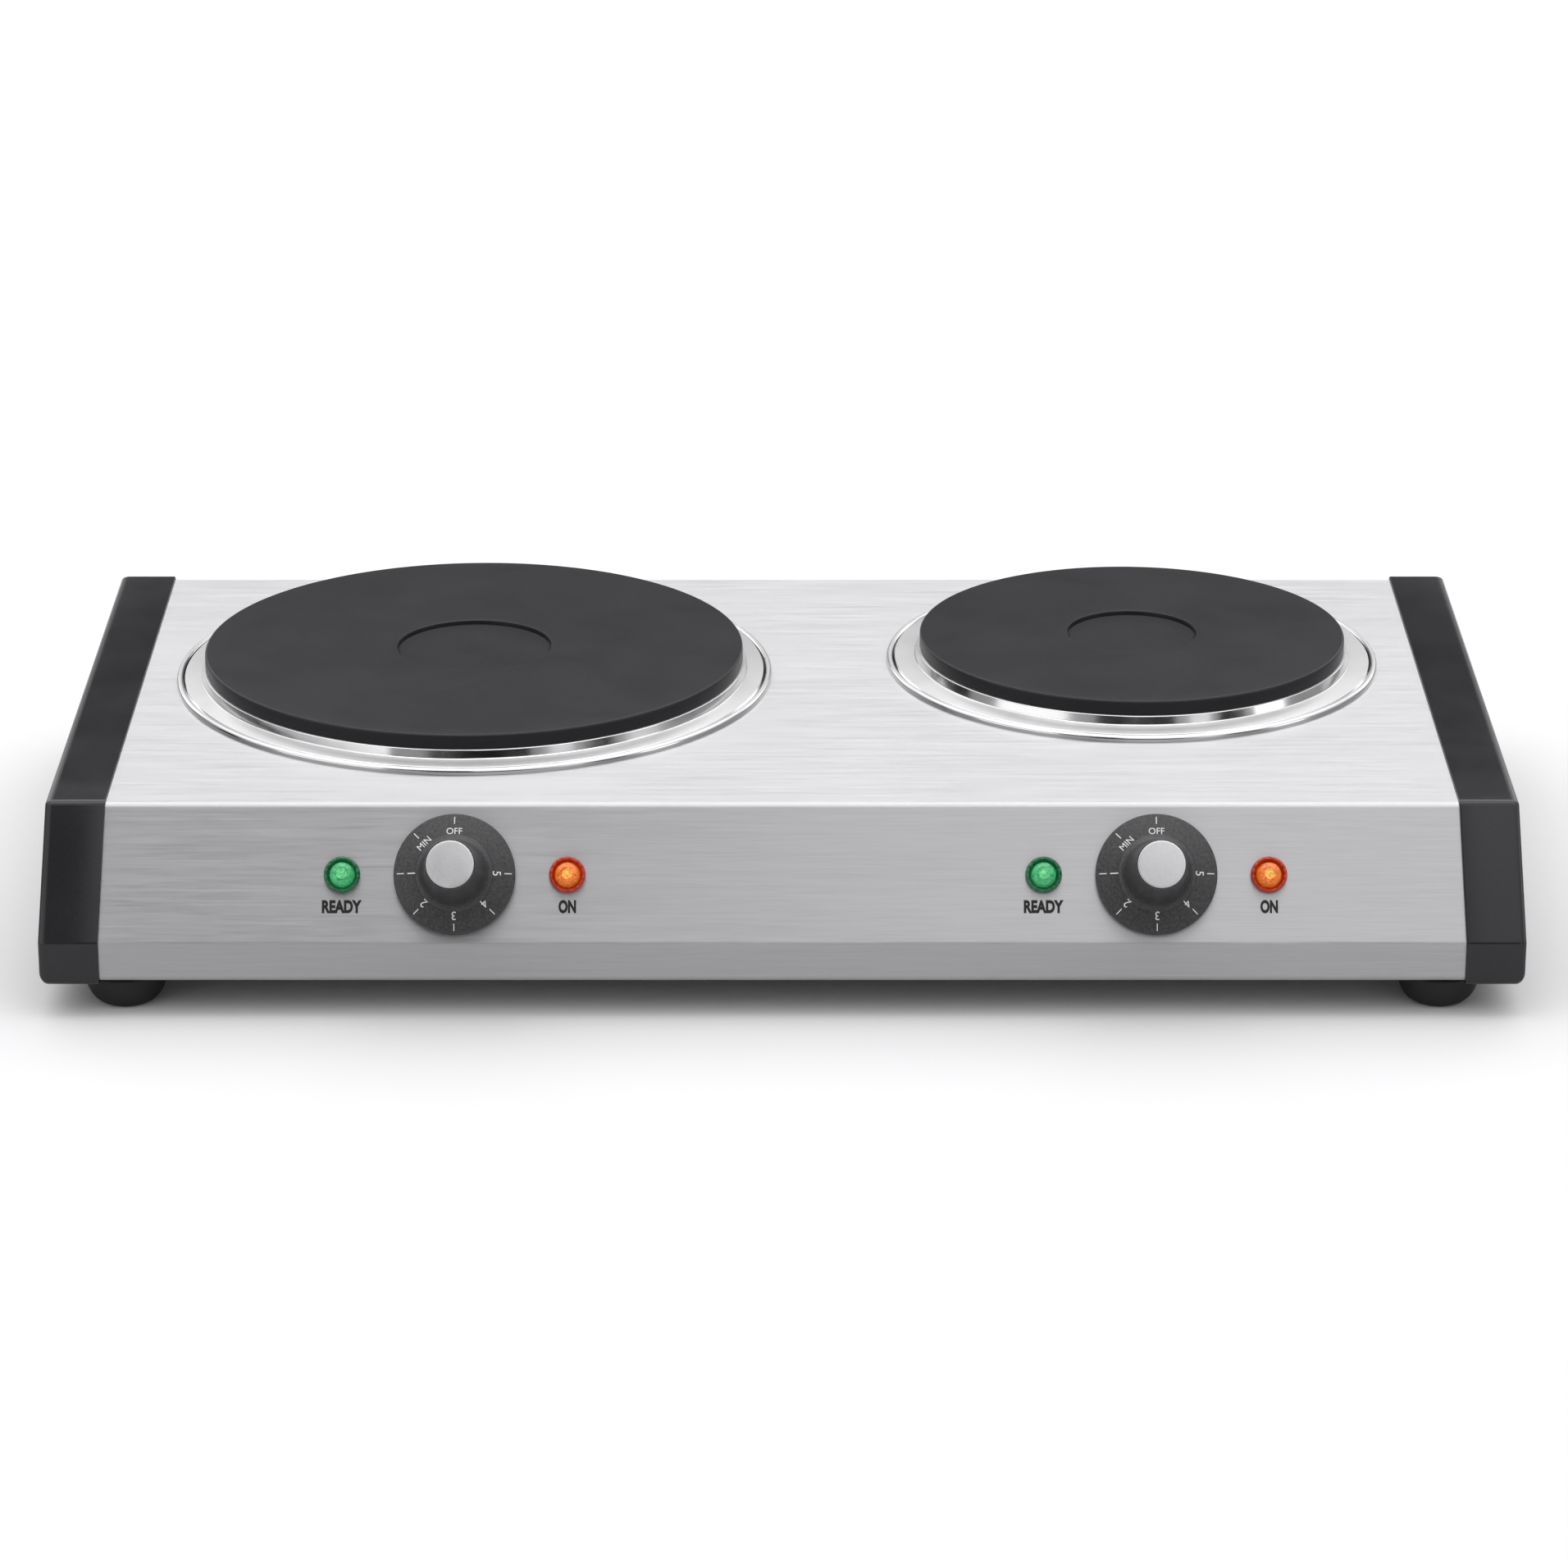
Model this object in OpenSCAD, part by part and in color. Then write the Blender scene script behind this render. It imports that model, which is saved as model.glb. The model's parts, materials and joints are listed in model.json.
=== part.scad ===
// Double hot plate burner: a folded steel housing between two moulded end caps, with two cast-iron
// plates, each with its own thermostat, knob and pair of lamps.
// +X is to the user's right, +Y to the back, +Z up. The origin is on the worktop, under the middle.

/* [Housing] */
// Width across the end caps at their foot
body_w = 495; // [480:1:520]
// Front to back size of the flat top
top_d = 241; // [236:0.5:260]
// Height of the upright lip under the control panel
lip_h = 14; // [10:0.5:18]
// Height of the sloped control panel
panel_rise = 41.5; // [38:0.5:50]
// How far the control panel leans back over its height
panel_run = 22; // [16:0.5:28]
// How far the rear wall leans forward over its height
rear_run = 8; // [4:0.5:12]
// Thickness of the housing sheet
sheet_t = 0.8; // [0.6:0.1:1.2]
// Outer radius of the folds in the housing
fold_r = 2.6; // [1.5:0.1:4]

/* [End caps] */
// Width of each end cap as seen from the front
cap_w = 20; // [18:0.5:24]
// How far the end caps stand proud of the sheet
cap_proud = 1; // [0.8:0.1:2]
// How far the end caps lean in between the lip and the top
cap_lean = 1.7; // [0:0.1:2.5]
// Wall thickness of the end caps
cap_t = 2.5; // [2:0.1:3.5]

/* [Feet] */
// Height from the worktop to the bottom of the housing
foot_h = 12.5; // [10:0.5:18]
// Radius of a foot at its top
foot_r = 14; // [10:0.5:15]
// Radius of the flat that a foot stands on
foot_flat_r = 7; // [5.5:0.5:9]

/* [Hot plates] */
// Radius of the large plate
large_r = 95; // [88:0.5:96]
// Radius of the small plate
small_r = 75.5; // [70:0.5:82]
// Outer radius of the large plate's trim ring
large_ring_r = 105.3; // [103:0.1:107]
// Outer radius of the small plate's trim ring
small_ring_r = 87.4; // [86:0.1:92]
// Height of the cooking surface above the housing's top
plate_up = 10.85; // [9:0.05:14]
// Radius of the recess in the middle of the large plate
large_recess_r = 27.2; // [20:0.2:32]
// Radius of the recess in the middle of the small plate
small_recess_r = 22.9; // [18:0.2:28]
// Depth of those recesses
recess_d = 1.2; // [0.6:0.1:2]

/* [Controls] */
// Radius of a knob's skirt
skirt_r = 20.25; // [18:0.25:22]
// Height of a knob above the control panel
knob_h = 29.5; // [24:0.5:32]
// Radius of a knob's bright end cap
knob_cap_r = 7.9; // [6.5:0.1:9]
// Distance from a knob's axis to each of its two lamps
lamp_pitch = 37.5; // [36:0.5:42]
// Radius of a lamp's lens where it meets the panel
lens_r = 6.1; // [5.6:0.1:7]
// Turn of a knob from off to full heat
knob_turn = 270; // [240:5:285]

/* [Cord gland] */
// Radius of the gland's bore
gland_bore_r = 3.9; // [3:0.1:4.5]
// Length of the gland's bore
gland_l = 16; // [14:0.5:20]

/* [Hidden] */
$fn = 96;

// Heights and depths of the housing's side view
front_y = -128;
base_z = foot_h;
kink_z = base_z + lip_h;
top_z = kink_z + panel_rise;
top_front_y = front_y + panel_run;
top_back_y = top_front_y + top_d;
rear_y = top_back_y + rear_run;
panel_tilt = atan(panel_run / panel_rise);
rear_tilt = atan(rear_run / (top_z - base_z));

// Gaps
touch = 0.05;      // between parts that rest on each other
running = 0.05;    // radial, between a shaft and its bush
far = 400;         // longer than anything it cuts

// Sheet parts
flange_d = 26;     // inward flanges along the housing's bottom edges
rear_flange = 10;  // the shell's downturn behind the top
rear_overlap = 6;  // how much of that downturn the rear panel tucks under
sheet_half_w = body_w / 2 - cap_w + 6;
lip_half_w = body_w / 2 - cap_w;
base_half_w = sheet_half_w - 1.5;
base_flange_h = 14;
cap_overhang = 2.5; // extra reach of the end caps behind the rear wall
cap_round = 4;      // radius along the end caps' lower outer edge

// Each plate: [x, y, plate radius, trim ring radius, recess radius, width of the ring's upright wall]
large = [-109, front_y + 154, large_r, large_ring_r, large_recess_r, 2.2];
small = [124.5, front_y + 169, small_r, small_ring_r, small_recess_r, 4.3];
left_x = large[0];
right_x = small[0];

// The row of knobs and lamps runs along the panel just under its middle
row_share = 0.487;
row_y = front_y + panel_run * row_share;
row_z = kink_z + panel_rise * row_share;

// Plate internals, measured down from the housing's top
rim_z = 5.85;      // underside of the plate's rim
ring_t = 0.5;
bead_r = 1.25;     // the rounded bead along the trim ring's outer edge
body_inset = 3.5;  // how much narrower the plate is under its rim
plate_under = -4.5;
groove_top = 3.2;
groove_w = 11;
filler_top = -1.4;
element_r = 2.1;
element_z = 0.9;
leg_r = 1.2;
ring_shares = [0.42, 0.61, 0.8];
element_gap = 15;  // half the angle left open at the front for the legs
leg_at = element_gap + 1;
cover_z = plate_under - 1;
boss_r = 8;        // solid middle of a plate, around its stud
bar_z = -12;
bar_t = 2;
bar_w = 22;
stud_r = 3;
block_z = -10.2;
cutoff_r = 2.1;
cutoff_lead = 15;

// Fasteners
foot_x = 220.5;
foot_inset = 17.5;
foot_screw_r = 1.9;
tap_screw_r = 1.5;
base_screw_xs = [-170, 0, 170];
rear_screw_xs = [-190, -60, 60, 190];
cap_screw_ys = [front_y + 42, front_y + 232];
cap_screw_z = base_z + 9;

// Controls
hole_clear = 0.4;
bush_r = 5;
bush_end = -8;
spindle_r = 3;
spindle_end = -12;
spindle_tip = 21;
spindle_flat = 0.7;
collar_t = 2;
collar_z = bush_end - 0.3 - collar_t;
stop_r = 9;
stop_gap = 2.5;    // degrees left between the stop and the tab at each end of the turn
tab_half = 14;
lug_half = (360 - knob_turn) / 2 - tab_half - stop_gap;
tab_at = 90 - (360 - knob_turn) / 2;
frame_t = 1.5;
thermostat_screw_x = 14;
stack_x = 23.5;
rivet_r = 1.2;
blade_t = 0.5;
blade_pitch = 3.2;
blade_top = -12.9;
contact_x = -9;
tab_end = -14;     // how far down the blades' wire tabs reach
lamp_tube_r = 5;
lamp_tube_l = 14;
lamp_bore_r = 3.9;
lens_h = 4.4;

// Where the cord comes in
gland_x = 17;
gland_s = 30;
block_x = 17;
block_y = 62;
block_size = [36, 18, 15];
pole_pitch = 11;
pole_r = 2.9;
pole_up = 8;
earth_at = [52, 60];
floor_z = base_z + 2 * sheet_t + touch;
block_z0 = floor_z + touch;
wire_r = 1.3;
lead_r = 0.6;
low = floor_z + wire_r + 0.2;
pole_z = block_z0 + pole_up;

// ---- points and outlines ----

function unit(v) = v / norm(v);
function reversed(p) = [for (i = [len(p) - 1:-1:0]) p[i]];

// The direction to the right of the way from p to q
function right_of(p, q) = let (d = unit(q - p)) [d[1], -d[0]];

// Moves an open path to its right by t
function shifted(path, t) = let (last = len(path) - 1) [
    for (i = [0:last]) let (
        before = right_of(path[max(i - 1, 0)], path[max(i, 1)]),
        after = right_of(path[min(i, last - 1)], path[min(i + 1, last)]),
        way = unit(before + after)
    ) path[i] + way * t / (way * before)
];

// Closed outline of a sheet t thick, with path along its outer face
function strip(path, t) = concat(path, reversed(shifted(path, t)));

// Grows a closed anticlockwise outline by d
function grown(pts, d) = let (n = len(pts)) [
    for (i = [0:n - 1]) let (
        before = right_of(pts[(i + n - 1) % n], pts[i]),
        after = right_of(pts[i], pts[(i + 1) % n]),
        way = unit(before + after)
    ) pts[i] + way * d / (way * before)
];

// The arc of radius r that rounds the corner at b
function arc_at(a, b, c, r, steps) = let (
    u = unit(a - b),
    v = unit(c - b),
    half = acos(u * v) / 2,
    centre = b + unit(u + v) * r / sin(half),
    from = b + u * r / tan(half) - centre,
    to = b + v * r / tan(half) - centre,
    start = atan2(from[1], from[0]),
    turn = (atan2(to[1], to[0]) - start + 540) % 360 - 180
) [for (k = [0:steps]) centre + r * [cos(start + turn * k / steps), sin(start + turn * k / steps)]];

// An open path with every inner corner rounded
function bent(path, r, steps = 6) = concat(
    [path[0]],
    [for (i = [1:len(path) - 2]) each arc_at(path[i - 1], path[i], path[i + 1], r, steps)],
    [path[len(path) - 1]]
);

// A closed outline with every corner rounded
function eased(pts, r, steps = 5) = let (n = len(pts)) [
    for (i = [0:n - 1]) each arc_at(pts[(i + n - 1) % n], pts[i], pts[(i + 1) % n], r, steps)
];

// A slot of length l and width w, lying along the first axis
function slot_outline(l, w, steps = 6) = [
    for (side = [0, 1], k = [0:steps])
        let (a = -90 + 180 * side + 180 * k / steps)
            [(side == 0 ? 1 : -1) * (l - w) / 2 + w / 2 * cos(a), w / 2 * sin(a)]
];

// A smooth curve through the given points
function blend4(p, t) = 0.5 * (
    2 * p[1] + (p[2] - p[0]) * t + (2 * p[0] - 5 * p[1] + 4 * p[2] - p[3]) * t * t
    + (3 * p[1] - p[0] - 3 * p[2] + p[3]) * t * t * t
);
function smooth(pts, steps = 4) = let (last = len(pts) - 1) concat(
    [for (i = [0:last - 1], k = [0:steps - 1]) blend4(
        [pts[max(i - 1, 0)], pts[i], pts[i + 1], pts[min(i + 2, last)]], k / steps)],
    [pts[last]]
);

// The plan of the housing's side view, anticlockwise from the front bottom corner
function side_outline(extra = 0) = [
    [front_y, base_z], [rear_y + extra, base_z], [top_back_y + extra, top_z],
    [top_front_y, top_z], [front_y, kink_z]
];

// ---- places ----

// Child shapes stand on the control panel: +Z out of it, +Y up along it
module on_panel(x) {
    translate([x, row_y, row_z]) rotate([90 - panel_tilt, 0, 0]) children();
}

// Child shapes stand on the rear wall, s down from the top: +Z out of it, +Y down along it
module on_rear(x, s) {
    translate([x, top_back_y + s * sin(rear_tilt), top_z - s * cos(rear_tilt)])
        rotate([rear_tilt - 90, 0, 0]) children();
}

// The same place as a point: u to the right, v up the panel, w out of it
function panel_point(x, u, v, w) = [
    x + u,
    row_y + v * sin(panel_tilt) - w * cos(panel_tilt),
    row_z + v * cos(panel_tilt) + w * sin(panel_tilt)
];

// Child shapes stand at a plate's middle, on the housing's top
module at_plate(p) {
    translate([p[0], p[1], top_z]) children();
}

// A side-view outline, extruded from x = from to x = to
module across(from, to) {
    translate([from, 0, 0]) rotate([90, 0, 90]) linear_extrude(to - from) children();
}

// A round tube along a 3-D path
module tube(path, r, sides = 8) {
    last = len(path) - 1;
    lean = [0.31, 0.52, 0.8];
    rings = [
        for (i = [0:last]) let (
            along = unit(path[min(i + 1, last)] - path[max(i - 1, 0)]),
            across = unit(cross(along, lean)),
            up = cross(along, across)
        ) for (k = [0:sides - 1])
            path[i] + r * (cos(360 * k / sides) * across + sin(360 * k / sides) * up)
    ];
    walls = [
        for (i = [0:last - 1], k = [0:sides - 1]) let (
            a = i * sides + k, b = i * sides + (k + 1) % sides
        ) each [[b + sides, b, a], [a + sides, b + sides, a]]
    ];
    ends = [
        [for (k = [0:sides - 1]) k],
        [for (k = [sides - 1:-1:0]) last * sides + k]
    ];
    polyhedron(points = rings, faces = concat(walls, ends), convexity = 6);
}

// A screw with a low head: the head's underside is at z = 0 and the shank runs down
module screw(shank_r, shank_l, head_r, head_h) {
    rotate_extrude() polygon([
        [0, -shank_l], [shank_r - 0.4, -shank_l], [shank_r, -shank_l + 1], [shank_r, 0], [head_r, 0],
        [head_r, head_h * 0.45], [head_r * 0.72, head_h], [0, head_h]
    ]);
}

// ---- housing ----

module housing_shell() {
    rear_way = unit([rear_run, base_z - top_z]);
    outline = strip(bent([
        [front_y + flange_d, base_z], [front_y, base_z], [front_y, kink_z], [top_front_y, top_z],
        [top_back_y, top_z], [top_back_y, top_z] + rear_way * rear_flange
    ], fold_r), sheet_t);
    color("silver") difference() {
        across(-sheet_half_w, sheet_half_w) polygon(outline);
        for (p = [large, small]) at_plate(p) translate([0, 0, -5]) cylinder(r = p[2] + 2, h = 10);
        for (x = [left_x, right_x]) on_panel(x) {
            translate([0, 0, -3]) cylinder(r = bush_r + hole_clear, h = 6);
            for (side = [-1, 1]) {
                translate([side * lamp_pitch, 0, -3]) cylinder(r = lamp_tube_r + 0.1, h = 6);
                translate([side * thermostat_screw_x, 0, -3]) cylinder(r = tap_screw_r + 0.1, h = 6);
            }
        }
        for (x = [-foot_x, foot_x]) translate([x, front_y + foot_inset, 0])
            cylinder(r = foot_screw_r + 0.2, h = base_z + 3);
        for (x = base_screw_xs) translate([x, front_y + foot_inset, 0])
            cylinder(r = tap_screw_r + 0.1, h = base_z + 3);
        for (x = rear_screw_xs) on_rear(x, rear_flange - rear_overlap / 2)
            translate([0, 0, -3]) cylinder(r = tap_screw_r + 0.1, h = 6);
    }
}

module rear_panel() {
    way = unit([rear_run, base_z - top_z]);
    inward = [-way[1], way[0]] * -(sheet_t + touch);
    start = [top_back_y, top_z] + way * (rear_flange - rear_overlap) + inward;
    foot = [top_back_y, top_z] + inward;
    corner = foot + way * (foot[1] - base_z) / -way[1];
    outline = strip(bent([start, corner, [corner[0] - flange_d, base_z]], 2), sheet_t);
    color("silver") difference() {
        across(-sheet_half_w, sheet_half_w) polygon(outline);
        on_rear(gland_x, gland_s) translate([0, 0, -5]) cylinder(r = 6.4, h = 8);
        for (x = rear_screw_xs) on_rear(x, rear_flange - rear_overlap / 2)
            translate([0, 0, -4]) cylinder(r = tap_screw_r + 0.1, h = 8);
        for (x = [-foot_x, foot_x]) translate([x, rear_y - foot_inset, 0])
            cylinder(r = foot_screw_r + 0.2, h = base_z + 3);
        for (x = base_screw_xs) translate([x, rear_y - foot_inset, 0])
            cylinder(r = tap_screw_r + 0.1, h = base_z + 3);
        for (side = [-1, 1], k = [0:8]) on_rear(side * 130 + (k - 4) * 9, 30)
            translate([0, 0, -5]) rotate([0, 0, 90]) linear_extrude(8) polygon(slot_outline(22, 3));
    }
}

module base_plate() {
    z = base_z + sheet_t + touch;
    y0 = front_y + fold_r;
    y1 = rear_y - 2 * sheet_t - 1.6;
    color("lightgray") difference() {
        union() {
            translate([-base_half_w, y0, z]) cube([2 * base_half_w, y1 - y0, sheet_t]);
            for (side = [-1, 1]) translate([side < 0 ? -base_half_w : base_half_w - sheet_t, front_y + 16, z])
                cube([sheet_t, top_d - 8, base_flange_h]);
        }
        for (x = [-foot_x, foot_x], y = [front_y + foot_inset, rear_y - foot_inset])
            translate([x, y, 0]) cylinder(r = foot_screw_r + 0.2, h = base_z + 5);
        for (x = base_screw_xs, y = [front_y + foot_inset, rear_y - foot_inset])
            translate([x, y, 0]) cylinder(r = tap_screw_r + 0.1, h = base_z + 5);
        for (y = cap_screw_ys) translate([0, y, cap_screw_z]) rotate([0, 90, 0])
            cylinder(r = tap_screw_r + 0.1, h = far * 2, center = true);
        for (side = [-1, 1]) translate([block_x + side * pole_pitch / 2, block_y, 0])
            cylinder(r = tap_screw_r + 0.1, h = base_z + 5);
        translate([earth_at[0], earth_at[1], 0]) cylinder(r = tap_screw_r + 0.1, h = base_z + 5);
        for (p = [large, small], k = [-4:4]) translate([p[0] + k * 11, p[1] - 10, z - 1])
            rotate([0, 0, 90]) linear_extrude(4) polygon(slot_outline(86, 4.5));
    }
}

// Front view of the right-hand end cap, made smaller by inset, with its inner edge at x = inner
function cap_front(inset, inner) = let (
    out_x = body_w / 2 - inset,
    bottom = base_z - cap_proud + inset,
    top = top_z + cap_proud - inset,
    a = [inner, bottom],
    b = [out_x, bottom],
    c = [out_x, kink_z],
    d = [out_x - cap_lean, top],
    e = [inner - cap_lean, top]
) concat([a], arc_at(a, b, c, cap_round - inset, 6), [c], arc_at(c, d, e, 1.6, 4), [e, [inner, kink_z]]);

// A solid with the given side view and front view
module two_views(side_pts, front_pts) {
    intersection() {
        across(0, far) polygon(side_pts);
        translate([0, far, 0]) rotate([90, 0, 0]) linear_extrude(2 * far) polygon(front_pts);
    }
}

// The right-hand end cap; the left-hand one is its mirror image
module end_cap() {
    boss_x = base_half_w + touch;
    color([0.13, 0.13, 0.14]) {
        difference() {
            two_views(eased(grown(side_outline(cap_overhang), cap_proud), 2), cap_front(0, lip_half_w));
            two_views(grown(side_outline(cap_overhang), cap_proud - cap_t), cap_front(cap_t, sheet_half_w));
            across(lip_half_w - 10, sheet_half_w + 0.6) polygon(grown(side_outline(), 0.1));
        }
        for (y = cap_screw_ys) translate([boss_x, y, cap_screw_z]) rotate([0, 90, 0]) difference() {
            cylinder(r = 4, h = body_w / 2 - cap_t / 2 - boss_x);
            translate([0, 0, -1]) cylinder(r = tap_screw_r + 0.1, h = 10);
        }
    }
}

// ---- feet and fasteners ----

module foot(x_side, y) {
    dome_h = base_z - cap_proud - 0.1;
    steps = 12;
    side = [for (k = [0:steps]) let (a = 90 * k / steps)
        [foot_flat_r + (foot_r - foot_flat_r) * sin(a), dome_h * (1 - cos(a))]];
    color([0.1, 0.1, 0.11]) translate([x_side * foot_x, y, 0]) rotate_extrude()
        polygon(concat([[4.2, 0]], side, [[5, dome_h], [5, base_z], [2.1, base_z], [2.1, 5.9], [4.2, 5.9]]));
}

module foot_screws() {
    for (x = [-foot_x, foot_x], y = [front_y + foot_inset, rear_y - foot_inset])
        color("gainsboro") translate([x, y, 5.8]) mirror([0, 0, 1]) screw(foot_screw_r, 13, 3.8, 2.3);
}

// The screws that hold the base plate, the rear panel and the end caps
module housing_screws() {
    color("gainsboro") {
        for (x = base_screw_xs, y = [front_y + foot_inset, rear_y - foot_inset])
            translate([x, y, base_z - touch]) mirror([0, 0, 1]) screw(tap_screw_r, 7, 3, 1.9);
        for (x = rear_screw_xs) on_rear(x, rear_flange - rear_overlap / 2)
            translate([0, 0, touch]) screw(tap_screw_r, 7, 3, 1.9);
        for (side = [-1, 1], y = cap_screw_ys)
            translate([side * (base_half_w - sheet_t - touch), y, cap_screw_z])
                rotate([0, -side * 90, 0]) screw(tap_screw_r, 7, 3, 1.9);
    }
}

// ---- hot plates ----

module hot_plate(p) {
    r = p[2];
    edge = arc_at([0, plate_up], [r, plate_up], [r, 0], 1.6, 6);
    outline = concat(
        [[0, plate_up - recess_d], [p[4], plate_up - recess_d], [p[4] + 0.3, plate_up]], edge,
        [[r, rim_z + 0.5], [r - 0.5, rim_z], [r - body_inset, rim_z], [r - body_inset - 0.3, plate_under],
         [0, plate_under]]
    );
    color([0.2, 0.2, 0.21]) at_plate(p) difference() {
        rotate_extrude() polygon(outline);
        rotate_extrude() for (share = ring_shares)
            translate([share * r - groove_w / 2, plate_under - 1])
                square([groove_w, groove_top - plate_under + 1]);
        rotate_extrude() translate([boss_r, plate_under - 1])
            square([ring_shares[0] * r - groove_w / 2 - 4 - boss_r, groove_top - plate_under + 1]);
        translate([0, 0, plate_under - 1]) cylinder(r = stud_r + touch, h = 9.5);
    }
}

module trim_ring(p) {
    top = rim_z - touch;
    groove = p[3] - 2 * bead_r - 0.2;
    slope = [[p[2] - body_inset + 0.3, top], [p[2] + 0.8, top], [p[2] + p[5], 2.9], [groove - 0.3, 2], [groove, 1.6]];
    bead = [for (a = [160:-20:0]) [p[3] - bead_r + bead_r * cos(a), 0.95 + bead_r * sin(a)]];
    path = concat(bent(slope, 0.8, 4), bead, [[p[3], touch]]);
    color("whitesmoke") at_plate(p) rotate_extrude() polygon(strip(path, ring_t));
}

// Heater rings, each open at the front where its two legs turn down
module heating_element(p) {
    color("dimgray") at_plate(p) for (share = ring_shares) {
        rotate([0, 0, element_gap - 90]) rotate_extrude(angle = 360 - 2 * element_gap)
            translate([share * p[2], element_z]) circle(r = element_r);
        for (side = [-1, 1]) rotate([0, 0, -90 + side * leg_at])
            translate([share * p[2], 0, block_z - 4]) cylinder(r = leg_r, h = element_z - block_z + 4);
    }
}

module leg_holes(p, r) {
    for (share = ring_shares, side = [-1, 1]) rotate([0, 0, -90 + side * leg_at])
        translate([share * p[2], 0, -far / 2]) cylinder(r = r, h = far);
}

module ceramic_filler(p) {
    color("beige") at_plate(p) difference() {
        rotate_extrude() for (share = ring_shares)
            translate([share * p[2] - groove_w / 2 + 0.1, plate_under])
                square([groove_w - 0.2, filler_top - plate_under]);
        leg_holes(p, leg_r + 0.2);
    }
}

// The space around the legs, under a plate: [nearest, furthest, half width]
function window(p) = [
    ring_shares[0] * p[2] * cos(leg_at) - 5,
    ring_shares[2] * p[2] * cos(leg_at) + 5,
    ring_shares[2] * p[2] * sin(leg_at) + 4
];

// Where a wire meets a plate's terminal block
function terminal_point(p, side, down) = [
    p[0] + side * window(p)[2] / 2, p[1] - window(p)[1] + 8, top_z + block_z - 2.4 - down
];

module plate_cover(p) {
    r = p[2] - 6;
    w = window(p);
    path = [[r + 2, plate_under - touch], [r, cover_z], [stud_r + 0.4, cover_z]];
    outline = strip(path, -sheet_t);
    color("lightsteelblue") at_plate(p) difference() {
        rotate_extrude() polygon(outline);
        translate([-w[2] - 0.5, -w[1] - 0.5, cover_z - 5]) cube([2 * w[2] + 1, w[1] - w[0] + 1, 10]);
    }
}

module plate_terminal(p) {
    w = window(p);
    color("ivory") at_plate(p) difference() {
        translate([-w[2], -w[1], block_z - 6])
            cube([2 * w[2], w[1] - w[0], plate_under - 0.1 - block_z + 6]);
        leg_holes(p, leg_r + 0.2);
        for (side = [-1, 1]) translate([side * w[2] / 2, -w[1] + 8, block_z - 7]) cylinder(r = 3.2, h = 5);
    }
}

module clamp_bar(p) {
    reach = p[2] + 14;
    knee = p[2] + 1;
    half = [[knee - 3, bar_z], [knee + 5, -sheet_t - touch], [reach, -sheet_t - touch]];
    path = concat([for (v = reversed(half)) [-v[0], v[1]]], half);
    color("lightsteelblue") at_plate(p) difference() {
        translate([0, bar_w / 2, 0]) rotate([90, 0, 0]) linear_extrude(bar_w) polygon(strip(bent(path, 3), bar_t));
        translate([0, 0, bar_z - 5]) cylinder(r = stud_r + 0.4, h = 10);
    }
}

module plate_stud(p) {
    color("gainsboro") at_plate(p) translate([0, 0, bar_z - bar_t - 9])
        cylinder(r = stud_r, h = plate_under + 8.4 - (bar_z - bar_t - 9));
}

module clamp_nuts() {
    for (p = [large, small]) color("gainsboro") at_plate(p) difference() {
        union() {
            translate([0, 0, bar_z - bar_t - 1.25]) cylinder(r = 7, h = 1.2);
            translate([0, 0, bar_z - bar_t - 6.25]) cylinder(r = 5.77, h = 5.1, $fn = 6);
        }
        translate([0, 0, bar_z - bar_t - 8]) cylinder(r = stud_r + touch, h = 9);
    }
}

// The middle of a plate's one-shot cut-out, under the plate's cover on the side nearer the middle
function cutoff_point(p) = [
    p[0] - sign(p[0]) * 0.36 * p[2], p[1] + 0.5 * p[2], top_z + cover_z - sheet_t - touch - cutoff_r - 0.1
];

module thermal_cutoffs() {
    for (p = [large, small]) color("tan") translate(cutoff_point(p)) rotate([0, 90, 0]) {
        cylinder(r = cutoff_r, h = 12, center = true);
        cylinder(r = lead_r, h = 2 * cutoff_lead, center = true);
    }
}

module cutoff_clips() {
    top = cutoff_r + 0.1;
    grip = cutoff_r + 0.2;
    half = [[grip, -grip], [grip, top], [grip + 4, top]];
    path = concat([for (v = reversed(half)) [-v[0], v[1]]], half);
    for (p = [large, small]) color("gainsboro") translate(cutoff_point(p))
        across(-2.5, 2.5) polygon(strip(bent(path, 0.8, 4), 0.5));
}

// ---- thermostats ----

module thermostat_frame(x) {
    under = -sheet_t - touch - frame_t;
    color("lightsteelblue") on_panel(x) difference() {
        union() {
            translate([-18, -8, under]) cube([18 + stack_x + 5, 16, frame_t]);
            translate([0, 0, bush_end]) cylinder(r = bush_r, h = 0.8 - bush_end);
            rotate([0, 0, 90 - lug_half]) rotate_extrude(angle = 2 * lug_half)
                translate([stop_r - 2, collar_z - 0.5]) square([2, under - collar_z + 1.5]);
        }
        translate([0, 0, -20]) cylinder(r = spindle_r + running, h = 40);
        for (side = [-1, 1]) translate([side * thermostat_screw_x, 0, -10])
            cylinder(r = tap_screw_r + touch, h = 20);
        translate([stack_x, 0, -10]) cylinder(r = rivet_r + touch, h = 20);
    }
}

function blade_z(k) = blade_top - k * blade_pitch;

// The ceramic post and washers on the rivet that holds the blades
module thermostat_stack(x) {
    post_top = -sheet_t - 2 * touch - frame_t;
    color("ivory") on_panel(x) for (k = [0:3]) {
        top = k == 0 ? post_top : blade_z(k - 1) - blade_t - touch;
        bottom = k == 3 ? top - 2.4 : blade_z(k) + touch;
        translate([stack_x, 0, bottom]) difference() {
            translate([-4, -4, 0]) cube([8, 8, top - bottom]);
            translate([0, 0, -1]) cylinder(r = rivet_r + touch, h = 20);
        }
    }
}

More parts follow.
